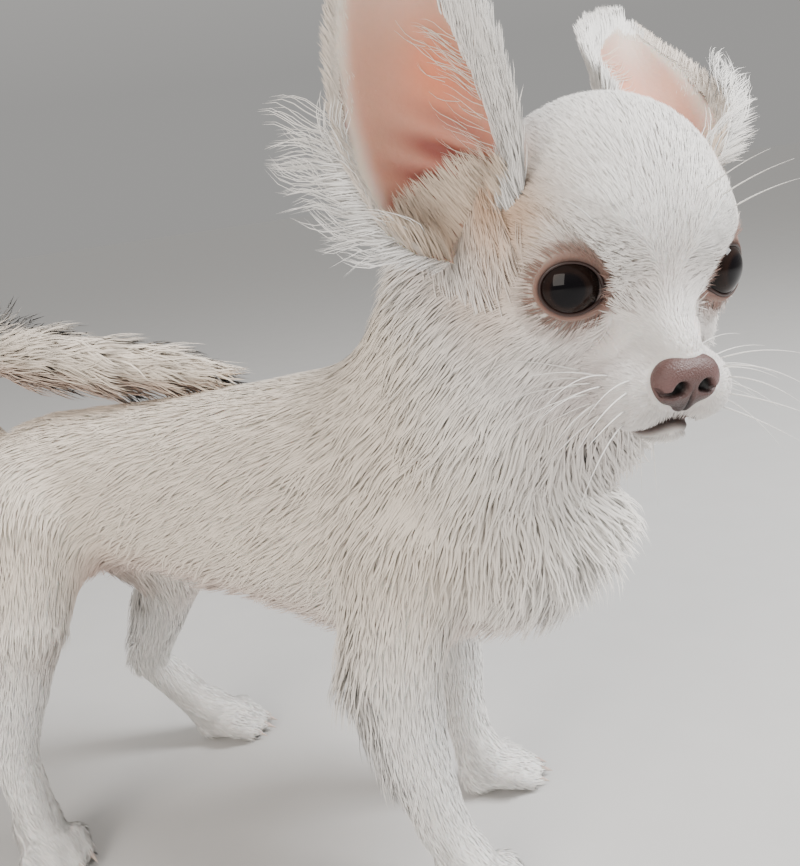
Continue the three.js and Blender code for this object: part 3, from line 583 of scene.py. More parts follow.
def markings(points, normals):
    local = in_head(points)
    colour = np.tile(WHITE, (len(points), 1))
    colour_towards = colour_mixer(colour)

    def patch(middle, reach):
        return np.exp(-(np.linalg.norm(local - np.array(middle), axis=1) / reach) ** 2)

    x, y, z = points.T
    on_head = 1 / (1 + np.exp(-(local @ np.array([0.6, 0, 0.8]) + 22) / 4))
    colour_towards(CREAM, 0.9 * (1 - on_head) * portion((z - 70) / 50))
    colour_towards(PINK, 0.55 * (1 - on_head) * portion(-normals[:, 2] * 1.6 - 0.5) * portion((z - 60) / 30))
    colour_towards(WHITE, portion((x - 80) / 30) * (1 - on_head) * 0.7)
    for side in (1, -1):
        colour_towards(TAN, 0.9 * patch((4, side * 34, 1), 15))
        colour_towards(TAN, 0.8 * patch((14, side * 30, 8), 11))
        colour_towards(TAN, 0.3 * patch((14, side * 30, -14), 11))
        colour_towards(PINK, 0.3 * patch((33, side * 17, -17), 6))
        far, off, edge = lid_angles(local, side)
        away = np.clip((off - edge) * EYE_RADIUS, 0, 20) + np.clip(far - EYE_RADIUS - 3, 0, 20) * 2
        out, nasal, upright = lid_frame(side)
        under = np.clip(0.8 - (local - eye_middle(side)) @ upright / 16, 0.6, 1)
        # Brown round each eye, stronger below it: partly the bare lids' own brown and the tear stain,
        # partly painted shade.
        colour_towards(BROWN, 0.85 * under * np.exp(-(away / 3.4) ** 2))
        # Painted shade: a darker brown over the bare skin within about 2 mm of the lids' edge.
        colour_towards(BROWN * 0.7, 0.9 * np.exp(-(away / 2.1) ** 4))
        colour_towards(RIM, 0.9 * np.exp(-(away / 0.5) ** 2))
    colour_towards(PINK, 0.18 * patch((30, 0, -6), 9))
    colour_towards(BROWN, 0.4 * patch((43, 0, -28), 8.5))
    # Painted shade: a grey-pink over both sides of the lips, standing in for the shadow on the muzzle's
    # side.
    for side in (1, -1):
        colour_towards(LIP_SHADE, 0.6 * patch((31, side * 16, -34), 13))
    colour_towards(LIP_LINE, 0.98 * np.exp(-(mouth_distance(local) / 3) ** 4) * soft_step((local[:, 0] - 22) / 8))
    return portion(colour)


def paint(mesh, values):
    layer = mesh.color_attributes.new("markings", "FLOAT_COLOR", "POINT")
    rgba = np.ones((len(values), 4))
    rgba[:, :3] = values
    layer.data.foreach_set("color", rgba.ravel())


paint(base, markings(skin_points, skin_normals))


def group(name, inputs, outputs):
    made = bpy.data.node_groups.new(name, "ShaderNodeTree")
    for title, kind, value in inputs:
        socket = made.interface.new_socket(name=title, in_out="INPUT", socket_type=kind)
        if value is not None:
            socket.default_value = value
    for title, kind in outputs:
        made.interface.new_socket(name=title, in_out="OUTPUT", socket_type=kind)
    return made, made.nodes.new("NodeGroupInput"), made.nodes.new("NodeGroupOutput")


def node(tree, kind, **values):
    made = tree.nodes.new(kind)
    for key, value in values.items():
        setattr(made, key, value)
    return made


# Fine uneven tone and height, as in short hair seen close: the same for every animal surface.
hair_tone, ins, outs = group(
    "hair_tone",
    [
        ("Colour", "NodeSocketColor", None),
        ("Scale", "NodeSocketFloat", 900.0),
        ("Amount", "NodeSocketFloat", 0.18),
    ],
    [("Colour", "NodeSocketColor"), ("Height", "NodeSocketFloat")],
)
where = node(hair_tone, "ShaderNodeTexCoord")
grain = node(hair_tone, "ShaderNodeTexNoise")
grain.inputs["Detail"].default_value = 4
cloud = node(hair_tone, "ShaderNodeTexNoise")
cloud.inputs["Scale"].default_value = 60
both = node(hair_tone, "ShaderNodeMath", operation="MULTIPLY_ADD")
both.inputs[1].default_value = 0.6
dark = node(hair_tone, "ShaderNodeMath", operation="MULTIPLY")
one_less = node(hair_tone, "ShaderNodeMath", operation="SUBTRACT")
one_less.inputs[0].default_value = 1.12
shade = node(hair_tone, "ShaderNodeVectorMath", operation="SCALE")
for source, target in (
    (where.outputs["Object"], grain.inputs["Vector"]),
    (where.outputs["Object"], cloud.inputs["Vector"]),
    (ins.outputs["Scale"], grain.inputs["Scale"]),
    (grain.outputs["Fac"], both.inputs[0]),
    (cloud.outputs["Fac"], both.inputs[2]),
    (both.outputs[0], dark.inputs[0]),
    (ins.outputs["Amount"], dark.inputs[1]),
    (dark.outputs[0], one_less.inputs[1]),
    (ins.outputs["Colour"], shade.inputs[0]),
    (one_less.outputs[0], shade.inputs["Scale"]),
    (shade.outputs[0], outs.inputs["Colour"]),
    (grain.outputs["Fac"], outs.inputs["Height"]),
):
    hair_tone.links.new(source, target)


def material(name, **sockets):
    made = bpy.data.materials.new(name)
    made.use_nodes = True
    shader = made.node_tree.nodes["Principled BSDF"]
    for key, value in sockets.items():
        shader.inputs[key.replace("_", " ")].default_value = value
    return made, made.node_tree, shader


def marked(name, scale, amount, bump, **sockets):
    """A surface coloured by its own colour attribute, painted shade included where it holds any, with
    fine tone and bump over them.
    """
    made, tree, shader = material(name, **sockets)
    own = node(tree, "ShaderNodeAttribute", attribute_name="markings")
    tone = node(tree, "ShaderNodeGroup", node_tree=hair_tone)
    tone.inputs["Scale"].default_value = scale
    tone.inputs["Amount"].default_value = amount
    tree.links.new(own.outputs["Color"], tone.inputs["Colour"])
    tree.links.new(tone.outputs["Colour"], shader.inputs["Base Color"])
    raised = node(tree, "ShaderNodeBump")
    raised.inputs["Strength"].default_value = bump
    raised.inputs["Distance"].default_value = 0.0004
    tree.links.new(tone.outputs["Height"], raised.inputs["Height"])
    tree.links.new(raised.outputs["Normal"], shader.inputs["Normal"])
    return made


skin_material = marked(
    "skin_and_underfur", 1400.0, 0.16, 0.5,
    Roughness=0.75, Subsurface_Weight=0.12, Subsurface_Scale=0.003,
)
base.materials.clear()
base.materials.append(skin_material)


# Ears: thin leaves of skin and cartilage bent into a cup. Their inside is bare and pink, with
# folds low down; their roots sink into the head.
EARS = {
    "ear_right": dict(
        line=[(-10, -30, -1), (-10, -38, 14), (-12, -46, 35), (-15, -52, 56), (-17, -54, 76)],
        front=(0.84, -0.5, 0.2),
        inner=1,
        feather=(0.35, -1, 0.1),
    ),
    "ear_left": dict(
        line=[(-15, 18, 3), (-22, 25, 15), (-35, 30, 27), (-48, 35, 37), (-58, 40, 46)],
        front=(0.64, 0.09, 0.74),
        inner=-1,
        feather=(0.9, -0.5, 0),
    ),
}
# From root to tip: half the cup's width in millimetres, and how far each half bends in degrees.
EAR_HALF = (8, 14, 18.6, 20.6, 20.4, 18, 14, 8.5, 2)
EAR_BEND = (112, 100, 84, 70, 60, 52, 46, 40, 34)
EAR_THICK = 1.5


def smooth_line(points, where):
    """Points along a soft curve through the given ones; where runs from 0 to 1."""
    points = np.array(points, float)
    steps = np.linspace(0, 1, len(points))
    fine = np.linspace(0, 1, 400)
    rough = np.stack([np.interp(fine, steps, points[:, i]) for i in range(3)], 1)
    kernel = np.hanning(81) / np.hanning(81).sum()
    padded = np.pad(rough, ((40, 40), (0, 0)), mode="reflect", reflect_type="odd")
    soft = np.stack([np.convolve(padded[:, i], kernel, "valid") for i in range(3)], 1)
    return np.stack([np.interp(where, fine, soft[:, i]) for i in range(3)], -1)


def ear_at(ear, s, t):
    """Place, normal out of the cup, way along and way out over the rim, in the head's frame."""
    s, t = np.asarray(s, float), np.asarray(t, float)
    middle = smooth_line(ear["line"], s)
    along = unit(smooth_line(ear["line"], s + 0.01) - smooth_line(ear["line"], s - 0.01))
    front = np.array(ear["front"], float)
    out = unit(front - along * (along @ front)[..., None])
    side = np.cross(along, out)
    steps = np.linspace(0, 1, len(EAR_HALF))
    bend = np.radians(np.interp(s, steps, EAR_BEND))
    reach = np.interp(s, steps, EAR_HALF) / np.sin(np.minimum(bend, math.pi / 2))
    angle = bend * t
    cos, sin = np.cos(angle)[..., None], np.sin(angle)[..., None]
    place = middle + out * reach[..., None] * (1 - cos) + side * reach[..., None] * sin
    return place, out * cos - side * sin, along, side * cos + out * sin


def ear_folds(s, u):
    """Height of the folds low in the cup; u is 1 at the edge by the skull."""
    across_folds = (s / 0.23 + u / 0.9) * 71
    where = np.exp(-((s - 0.29) / 0.13) ** 2 - (u / 0.42) ** 2)
    pocket = np.exp(-((u + 0.88) / 0.05) ** 2 - ((s - 0.53) / 0.09) ** 2)
    return np.sin(across_folds * 2 * math.pi / 38), where, pocket


EAR_SKIN = np.array([0.6, 0.32, 0.23])
EAR_GLOW = np.array([0.8, 0.25, 0.12])
EAR_RED = np.array([0.32, 0.09, 0.07])
EAR_EDGE = np.array([0.74, 0.64, 0.55])


def ear_colour(s, u):
    colour = np.tile(EAR_SKIN, (len(s), 1))
    ripple, where, pocket = ear_folds(s, u)
    colour_towards = colour_mixer(colour)
    colour_towards(EAR_GLOW, 0.85 * np.exp(-((s - 0.53) / 0.14) ** 2 - ((u - 0.25) / 0.4) ** 2))
    colour_towards(EAR_RED * 1.5, 0.6 * np.exp(-((s - 0.24) / 0.15) ** 2 - ((u + 0.05) / 0.6) ** 2))
    # Dark red in the folds' hollows: partly the skin's own redness, partly painted shade in the creases.
    colour_towards(EAR_RED, portion(where * (0.75 - 0.75 * ripple)))
    colour_towards(EAR_EDGE, soft_step((np.abs(u) - 0.6) / 0.3))
    colour_towards(EAR_EDGE, 0.6 * soft_step((s - 0.6) / 0.4))
    colour_towards(EAR_EDGE * 0.8, soft_step((0.1 - s) / 0.1))
    # Painted shade: near black in the pocket's hollow.
    colour_towards(np.array([0.1, 0.05, 0.035]), pocket)
    return colour


ear_material = marked(
    "ear_skin", 700.0, 0.12, 0.3,
    Roughness=0.5, Subsurface_Weight=0.3, Subsurface_Scale=0.003,
)
for name, ear in EARS.items():
    rows, columns = 110, 80
    s, t = np.meshgrid(np.linspace(0, 1, rows), np.linspace(-1, 1, columns), indexing="ij")
    place, normal, _, _ = ear_at(ear, s, t)
    rim = np.sqrt(portion(1 - t * t)) * portion((1 - s) * 9)
    ripple, where, pocket = ear_folds(s, t * ear["inner"])
    raised = (0.9 * where * ripple - 1.0 * pocket) * rim
    inside = place + normal * (EAR_THICK * 0.5 * rim + raised)[..., None]
    outside = place - normal * (EAR_THICK * 0.5 * rim - raised)[..., None]
    made = bmesh.new()
    tint = made.verts.layers.float_color.new("markings")
    shades = np.ones((rows * columns, 4))
    shades[:, :3] = ear_colour(s.ravel(), t.ravel() * ear["inner"])
    sheets = []
    for sheet in (inside, outside):
        sheets.append([])
        for p, tone_here in zip(to_scene(from_head(sheet.reshape(-1, 3))), shades):
            vertex = made.verts.new(p)
            vertex[tint] = tone_here
            sheets[-1].append(vertex)
    for layer, sheet in enumerate(sheets):
        for i in range(rows - 1):
            for j in range(columns - 1):
                a, b = i * columns + j, (i + 1) * columns + j
                corners = [sheet[a], sheet[a + 1], sheet[b + 1], sheet[b]]
                made.faces.new(corners if layer == 0 else corners[::-1])
    bmesh.ops.remove_doubles(made, verts=made.verts, dist=1e-6)
    bmesh.ops.holes_fill(made, edges=[e for e in made.edges if e.is_boundary], sides=0)
    bmesh.ops.recalc_face_normals(made, faces=made.faces)
    ear_piece = still_piece(made, name + "_skin")
    ear_piece.data.materials.append(ear_material)
    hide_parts(name)

# Eyes: wet, nearly black balls with a dark brown iris, a clear bulging front and a sliver of
# white towards the nose. Glass eyes of this kind are set behind the lids.
eye_layers = [
    (0, (0.002, 0.002, 0.003)),
    (24, (0.003, 0.002, 0.003)),
    (28, (0.016, 0.008, 0.006)),
    (46, (0.01, 0.006, 0.005)),
    (52, (0.002, 0.002, 0.002)),
    (56, (0.3, 0.26, 0.25)),
    (180, (0.6, 0.55, 0.53)),
]
GAZE_AZIMUTH = math.radians(28)
eye_material, tree, shader = material("wet_eye", Roughness=0.03, IOR=1.38, Specular_IOR_Level=0.3)
own = node(tree, "ShaderNodeAttribute", attribute_name="markings")
tree.links.new(own.outputs["Color"], shader.inputs["Base Color"])
for name, side in (("eye_left", 1), ("eye_right", -1)):
    ball = bmesh.new()
    bmesh.ops.create_uvsphere(ball, u_segments=72, v_segments=56, radius=1)
    local = positions(ball)
    dome = portion((local[:, 2] - 0.72) / 0.28)
    off_axis = np.degrees(np.arccos(np.clip(local[:, 2], -1, 1)))
    local = local * (EYE_RADIUS + 0.4 * dome * (2 - dome))[:, None]
    gaze = Vector((math.cos(GAZE_AZIMUTH), side * math.sin(GAZE_AZIMUTH), 0.07))
    facing = np.array(gaze.to_track_quat("Z", "Y").to_matrix())
    move_to(ball, to_scene(from_head(local @ facing.T + eye_middle(side))))
    piece = still_piece(ball, name + "_ball")
    stops = [stop for stop, _ in eye_layers]
    tints = np.array([tint for _, tint in eye_layers]).T
    paint(piece.data, np.stack([np.interp(off_axis, stops, tint) for tint in tints], 1))
    piece.data.materials.append(eye_material)
    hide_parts(name)


def tubes(name, lines, radii, sides=8, closed=False):
    """Round tubes along rows of points in the dog's frame, one mesh for all of them."""
    made = bmesh.new()
    for line, sizes in zip(lines, radii):
        line = np.asarray(line, float)
        count = len(line)
        ahead = np.roll(line, -1, 0) - np.roll(line, 1, 0)
        if not closed:
            ahead = np.gradient(line, axis=0)
        ahead = unit(ahead)
        across = unit(np.cross(ahead, [0.31, 0.17, 0.93]))
        upright = np.cross(ahead, across)
        rings = []
        for i in range(count):
            turns = [2 * math.pi * k / sides for k in range(sides)]
            section = [math.cos(a) * across[i] + math.sin(a) * upright[i] for a in turns]
            ring_points = to_scene([line[i] + sizes[i] * way for way in section])
            rings.append([made.verts.new(p) for p in ring_points])
        pairs = list(zip(rings[:-1], rings[1:]))
        if closed:
            pairs.append((rings[-1], rings[0]))
        for a, b in pairs:
            for k in range(sides):
                made.faces.new((a[k], a[(k + 1) % sides], b[(k + 1) % sides], b[k]))
        if not closed:
            made.faces.new(rings[0])
            made.faces.new(rings[-1])
    bmesh.ops.recalc_face_normals(made, faces=made.faces)
    return still_piece(made, name)


def toned(name, colour, amount, **sockets):
    """A surface of one colour with the fine uneven tone over it."""
    made, tree, shader = material(name, **sockets)
    tone = node(tree, "ShaderNodeGroup", node_tree=hair_tone)
    tone.inputs["Colour"].default_value = (*colour, 1)
    tone.inputs["Amount"].default_value = amount
    tree.links.new(tone.outputs["Colour"], shader.inputs["Base Color"])
    return made


# Lid rims: the bare, damp, nearly black margin that each lid closes on, a little
# thicker at the corner by the nose.
rim_lines, rim_sizes = [], []
for side in (1, -1):
    out, nasal, upright = lid_frame(side)
    around = np.linspace(0, 2 * math.pi, 97)[:-1]
    edge = lid_edge(around)
    flat = np.cos(around)[:, None] * nasal + np.sin(around)[:, None] * upright
    ways = np.cos(edge)[:, None] * out + np.sin(edge)[:, None] * flat
    rim_lines.append(from_head(eye_middle(side) + ways * (EYE_RADIUS + 0.25)))
    rim_sizes.append(0.42 + 0.22 * np.exp(-(np.angle(np.exp(1j * around)) / 0.5) ** 2))
rims = tubes("lid_rims", rim_lines, rim_sizes, 10, True)
rims.data.materials.append(toned("lid_rim", (0.05, 0.026, 0.022), 0.5, Roughness=0.3))

# Nose: a pad of brownish pink leather with a pebbled skin, a groove down its middle and two
# comma nostrils.
def nose_distance(local):
    left, right = (egg_distance(local, (44, y, -25), (4.6, 5.4, 5.8)) for y in (3.6, -3.6))
    pad = melt(1.6, melt(1.6, left, right), egg_distance(local, (44.2, 0, -23.2), (4.2, 6, 4.4)))
    return melt(1.6, pad, egg_distance(local, (43, 0, -27.5), (4.4, 4.2, 6)))


def nostril_depth(local):
    """A comma in front view: a round hole near the middle and a slit that curls out and up."""
    y, z = np.abs(local[:, 1]), local[:, 2]
    steps = np.linspace(0, 1, 30)
    path_y = np.interp(steps, [0, 0.35, 0.7, 1], [3.3, 5.2, 7.2, 8.4])
    path_z = np.interp(steps, [0, 0.35, 0.7, 1], [-25.6, -27.0, -27.2, -25.8])
    width = np.interp(steps, [0, 0.3, 1], [1.75, 1.0, 0.4])
    reach = np.hypot(y[:, None] - path_y, z[:, None] - path_z) / width
    return np.exp(-(reach.min(1)) ** 4) * np.interp(steps, [0, 0.4, 1], [1, 0.55, 0.25])[reach.argmin(1)]


pad = bmesh.new()
bmesh.ops.create_icosphere(pad, subdivisions=6, radius=1)
local = positions(pad) * np.array([5, 9, 6.4]) + np.array([44, 0, -25.6])
local = settle(nose_distance, local, 10)
depth = nostril_depth(local) * (local[:, 0] > 43)
groove = np.exp(-(local[:, 1] / 0.45) ** 2) * soft_step((-24 - local[:, 2]) / 6) * (local[:, 0] > 43)
local[:, 0] -= 3.2 * depth + 0.9 * groove
move_to(pad, to_scene(from_head(local + [0.4, 0, -1.8])))
nose = still_piece(pad, "nose_leather")
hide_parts("nose")
NOSE_TOP = np.array([0.115, 0.058, 0.052])
NOSE_LOBE = np.array([0.17, 0.085, 0.08])
NOSE_LOW = np.array([0.05, 0.028, 0.028])
lobe = np.exp(-(np.hypot(np.abs(local[:, 1]) - 6.8, local[:, 2] + 24.6) / 2.6) ** 2)[:, None]
# Darker towards the bottom: painted shade on the nose's underside.
low = soft_step((-27 - local[:, 2]) / 4)[:, None]
shown = NOSE_TOP * (1 - low) + NOSE_LOW * low
shown = shown + (NOSE_LOBE - shown) * lobe
# Painted shade: the nostrils and the groove down the middle are darkened.
shown = shown * (1 - portion(1.5 * depth + 0.7 * groove))[:, None] + 0.003
paint(nose.data, shown)
nose_material = marked("nose_leather", 2200.0, 0.35, 0.7, Roughness=0.4)
nose.data.materials.append(nose_material)

# Claws: short curved horn, pale with a pink core, one at the end of each toe. Each is a row of
# oval rings along a bent line, rooted inside the toe.
claws = bmesh.new()
for leg in PAWS:
    for y in TOES:
        steps = 9
        rings = []
        for i in range(steps):
            u = i / (steps - 1)
            middle = np.array([toe_reach(y) + 1.2 + 6.4 * u, y * (1 + 0.05 * u), 4.6 - 3.2 * u ** 1.6])
            size = 1.5 * (1 - u ** 1.8) + 0.06
            around = np.linspace(0, 2 * math.pi, 9)[:-1]
            oval = [(0, 0.72 * size * math.cos(a), size * math.sin(a)) for a in around]
            section = [middle + np.array(way) for way in oval]
            rings.append([claws.verts.new(p) for p in to_scene(paw_place(leg, section))])
        for a, b in zip(rings[:-1], rings[1:]):
            for j in range(8):
                claws.faces.new((a[j], a[(j + 1) % 8], b[(j + 1) % 8], b[j]))
        claws.faces.new(rings[-1])
        claws.faces.new(rings[0][::-1])
bmesh.ops.recalc_face_normals(claws, faces=claws.faces)
claw_piece = still_piece(claws, "claws")


def mottled(name, scale, dark, pale, **sockets):
    """A surface that drifts between two colours."""
    made, tree, shader = material(name, **sockets)
    where = node(tree, "ShaderNodeTexCoord")
    grain = node(tree, "ShaderNodeTexNoise")
    grain.inputs["Scale"].default_value = scale
    ramp = node(tree, "ShaderNodeValToRGB")
    ramp.color_ramp.elements[0].color = (*dark, 1)
    ramp.color_ramp.elements[1].color = (*pale, 1)
    tree.links.new(where.outputs["Object"], grain.inputs["Vector"])
    tree.links.new(grain.outputs["Fac"], ramp.inputs["Fac"])
    tree.links.new(ramp.outputs["Color"], shader.inputs["Base Color"])
    return made


claw_horn = mottled(
    "claw_horn", 500, (0.5, 0.4, 0.35), (0.72, 0.64, 0.58),
    Roughness=0.35, Subsurface_Weight=0.2, Subsurface_Scale=0.002,
)
claw_piece.data.materials.append(claw_horn)

# The coat: solid tapered tufts and locks over the skin, rooted in it and lying the way that
# the hair lies. Neighbours are drawn together towards their tips, as real locks are.
COAT_SEED = 20
random = np.random.default_rng(COAT_SEED)
coat_material = marked(
    "coat_hair", 2200.0, 0.06, 0.15,
    Roughness=0.6, Specular_IOR_Level=0.3, Sheen_Weight=0.15,
)
TUFT_PIECE = 190000


def hair_mesh(name, centres, sides, ups, widths, thick, soft_normals, colours, patch):
    """Tufts from the middle lines centres[tuft, ring]; the last ring is the tip."""
    count, rings = centres.shape[:2]
    body = rings - 1
    angles = np.radians([90, 210, 330])
    points = np.zeros((count, 3 * body + 1, 3))
    radial = np.zeros_like(points)
    for k, angle in enumerate(angles):
        a = math.cos(angle) * widths[:, :body, None] * sides[:, :body]
        b = math.sin(angle) * thick * widths[:, :body, None] * ups[:, :body]
        points[:, k : 3 * body : 3] = centres[:, :body] + a + b
        facing = math.cos(angle) * sides[:, :body] + math.sin(angle) * ups[:, :body]
        radial[:, k : 3 * body : 3] = unit(facing)
    points[:, -1] = centres[:, -1]
    points[..., 2] = np.maximum(points[..., 2], 0.15 + 0.05 * np.sin(points[..., 0]))
    radial[:, -1] = ups[:, -1]
    normals = unit(radial * 0.28 + soft_normals[:, None])
    faces = [(0, 1, 2)]
    for i in range(body - 1):
        for k in range(3):
            a, b = 3 * i + k, 3 * i + (k + 1) % 3
            faces.append((a, b + 3, b))
            faces.append((a, a + 3, b + 3))
    for k in range(3):
        faces.append((3 * (body - 1) + k, 3 * body, 3 * (body - 1) + (k + 1) % 3))
    faces = np.array(faces)
    each = max(1, TUFT_PIECE // len(faces))
    share = np.concatenate([np.repeat(np.linspace(0, 1, rings)[:-1], 3), [1.0]])
    cross = np.zeros((3 * body + 1, 2))
    for k, angle in enumerate(angles):
        cross[k : 3 * body : 3, 0] = math.cos(angle) * 0.0012
    cross[:, 1] = share * 0.0024 - 0.0012
    for part, start in enumerate(range(0, count, each)):
        stop = min(count, start + each)
        own = points[start:stop]
        size = stop - start
        mesh = bpy.data.meshes.new(name + "_" + str(part + 1))
        mesh.vertices.add(own.shape[0] * own.shape[1])
        mesh.vertices.foreach_set("co", to_scene(own.reshape(-1, 3)).ravel())
        index = (faces[None] + (np.arange(size) * own.shape[1])[:, None, None]).reshape(-1, 3)
        mesh.loops.add(index.size)
        mesh.loops.foreach_set("vertex_index", index.ravel().astype(np.int32))
        mesh.polygons.add(len(index))
        mesh.polygons.foreach_set("loop_start", np.arange(0, index.size, 3, dtype=np.int32))
        mesh.polygons.foreach_set("use_smooth", np.ones(len(index), bool))
        mesh.update(calc_edges=True)
        # Painted shade: each tuft is a little darker at its root than at its tip.
        tint = colours[start:stop, None] * (0.96 + 0.06 * share[None, :, None])
        paint(mesh, portion(tint.reshape(-1, 3)))
        layer = mesh.uv_layers.new(name="OFBake")
        flat = (patch[start:stop, None] + cross[None]).reshape(-1, 2)
        layer.data.foreach_set("uv", flat[index.ravel()].ravel())
        mesh.normals_split_custom_set_from_vertices(normals[start:stop].reshape(-1, 3))
        mesh.materials.append(coat_material)
        piece = link(mesh, name + "_" + str(part + 1))
        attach(piece, "root")


def clumped(roots, size, strength, rings):
    """How far each ring of each tuft is drawn to its lock's own line, and to which lock."""
    count = max(1, int(len(roots) / size))
    heads = random.choice(len(roots), count, replace=False)
    tree = KDTree(count)
    for i, h in enumerate(heads):
        tree.insert(roots[h], i)
    tree.balance()
    lock = np.array([heads[tree.find(r)[1]] for r in roots])
    pull = strength * np.linspace(0, 1, rings)[None, :, None] ** 1.4
    return lock, pull


def grow(
    name, roots, normals, lies, length, width, rise, rings, patch,
    clump=8, strength=0.35, wave=0.0, droop=0.0, thick=0.3, bend=0.5, colours=None, clear=False,
):
    """Tufts that leave the skin at rise degrees and bend back along the lie."""
    count = len(roots)
    flat = unit(lies - normals * (lies * normals).sum(1, keepdims=True))
    flat = unit(flat + random.normal(0, 0.09, (count, 3)))
    flat = unit(flat - normals * (flat * normals).sum(1, keepdims=True))
    angle = np.radians(rise * random.uniform(0.8, 1.2, count))[:, None]
    way = flat * np.cos(angle) + normals * np.sin(angle)
    across = np.cross(normals, flat)
    own = (length * random.uniform(0.78, 1.18, count))[:, None, None]
    t = np.linspace(0, 1, rings)[None, :, None]
    curve = -normals * np.sin(angle) * bend + across * random.normal(0, 0.07, (count, 1))
    curve = curve + np.array([0, 0, -1.0]) * droop
    phase = random.uniform(0, 6.28, count)[:, None, None]
    sunk = (0.05 + 0.05 * length * np.ones(count))[:, None, None]
    centres = roots[:, None] - normals[:, None] * sunk + own * (way[:, None] * t + curve[:, None] * t * t)
    lock, pull = clumped(roots, clump, strength, rings)
    target = centres[lock] + (roots - roots[lock])[:, None] * 0.15
    centres = centres + (target - centres) * pull
    centres = centres + across[:, None] * np.sin(phase[lock] + t * 5.5) * wave * t
    if clear:
        height = skin_distance(centres[:, 1:].reshape(-1, 3)).reshape(count, rings - 1)
        wanted = np.linspace(0, 1, rings)[None, 1:] * (0.3 + 0.07 * own[:, 0])
        centres[:, 1:] += normals[:, None] * np.clip(wanted - height, 0, 4)[..., None]
    forward = unit(np.gradient(centres, axis=1))
    sides = unit(np.cross(forward, normals[:, None]))
    ups = np.cross(sides, forward)
    taper = np.interp(np.linspace(0, 1, rings), [0, 0.25, 0.6, 0.85, 1], [0.75, 1, 0.78, 0.45, 0.05])
    half = (width * random.uniform(0.75, 1.25, count))[:, None] * 0.5 * taper[None]
    if colours is None:
        colours = markings(roots, normals)
    colours = colours * random.uniform(0.93, 1.05, (count, 1))
    hair_mesh(name, centres, sides, ups, half, thick, normals, colours, patch)


def scatter(points, faces, weights, count):
    """Random places on a mesh: faces and shares of their corners."""
    a, b, c = (points[faces[:, i]] for i in range(3))
    area = 0.5 * np.linalg.norm(np.cross(b - a, c - a), axis=1)
    chance = area * weights
    chosen = random.choice(len(faces), count, p=chance / chance.sum())
    u, v = random.random(count), random.random(count)
    over = u + v > 1
    u[over], v[over] = 1 - u[over], 1 - v[over]
    shares = np.stack([1 - u - v, u, v], 1)
    return chosen, shares


def spread(values, faces, chosen, shares):
    return np.einsum("nk,nk...->n...", shares, values[faces[chosen]])


# An unwrap of the skin into flat charts, so that each tuft's patch lies at its own root.
bpy.context.view_layer.objects.active = skin
skin.select_set(True)
bpy.ops.object.mode_set(mode="EDIT")
bpy.ops.mesh.select_all(action="SELECT")
bpy.ops.uv.smart_project(angle_limit=1.2, island_margin=0.001)
bpy.ops.object.mode_set(mode="OBJECT")
skin.data.uv_layers[0].name = "OFBake"
unwrap = np.zeros(len(base.loops) * 2)
base.uv_layers["OFBake"].data.foreach_get("uv", unwrap)
unwrap = unwrap.reshape(-1, 3, 2)
bare = np.zeros(len(skin_points))
for side in (1, -1):
    far, off, edge = lid_angles(skin_local, side)
    bare = np.maximum(bare, ((off - edge) * EYE_RADIUS < 0.7) & (far < EYE_RADIUS + 5))
bare = np.maximum(bare, (mouth_distance(skin_local) < 2.6) & (skin_local[:, 0] > 25))
bare = np.maximum(bare, np.linalg.norm((skin_local - [44, 0, -27.2]) / [5.4, 9.4, 7.2], axis=1) < 1.0)
head_share = 1 / (1 + np.exp(-(skin_local @ np.array([0.75, 0, 0.66]) + 12) / 3))
face_bare = bare[skin_faces].max(1)
face_head = head_share[skin_faces].mean(1)
face_hair = skin_hair[skin_faces].mean(1)


def cover(
    name, count, weights, rings, width,
    scale=1.0, lift=1.0, lie=skin_lie, length=skin_hair, lean=skin_rise, **more,
):
    chosen, shares = scatter(skin_points, skin_faces, weights * (1 - face_bare), count)
    roots = spread(skin_points, skin_faces, chosen, shares)
    normals = unit(spread(skin_normals, skin_faces, chosen, shares))
    lies = spread(lie, skin_faces, chosen, shares)
    hair = spread(length, skin_faces, chosen, shares)
    rise = spread(lean, skin_faces, chosen, shares)
    patch = np.einsum("nk,nkc->nc", shares, unwrap[chosen])
    own_width = width * np.clip((hair / 10) ** 0.6, 0.35, 1.4)
    grow(
        name, roots, normals, lies, hair * scale, own_width, rise * lift, rings, patch,
        clear=True, **more,
    )


# Short fur of the face, the body's coat, and the long locks of ruff, breast, breeches and tail.
on_tail = portion((skin_hair - 19) / 3)[skin_faces].mean(1)
cover(
    "coat_face", 38000, face_head / np.maximum(face_hair, 2) ** 0.6, 3, 0.52,
    lift=1.2, clump=5, strength=0.15, bend=0.4,
)
cover(
    "coat_body", 47000, (1 - face_head) * np.clip(12 / face_hair, 0.6, 2.4), 3, 0.72,
    clump=9, strength=0.22,
)
long_share = portion((face_hair - 10.5) / 5) * (1 - on_tail)
cover(
    "coat_long", 10000, (1 - face_head) * long_share, 6, 0.58,
    scale=1.15, lift=1.1, clump=9, strength=0.42, wave=0.8, droop=0.1, bend=0.42,
)
cover(
    "coat_tail", 4600, on_tail + 1e-9, 6, 0.66,
    scale=1.05, clump=8, strength=0.4, wave=1.4, droop=0.05,
)


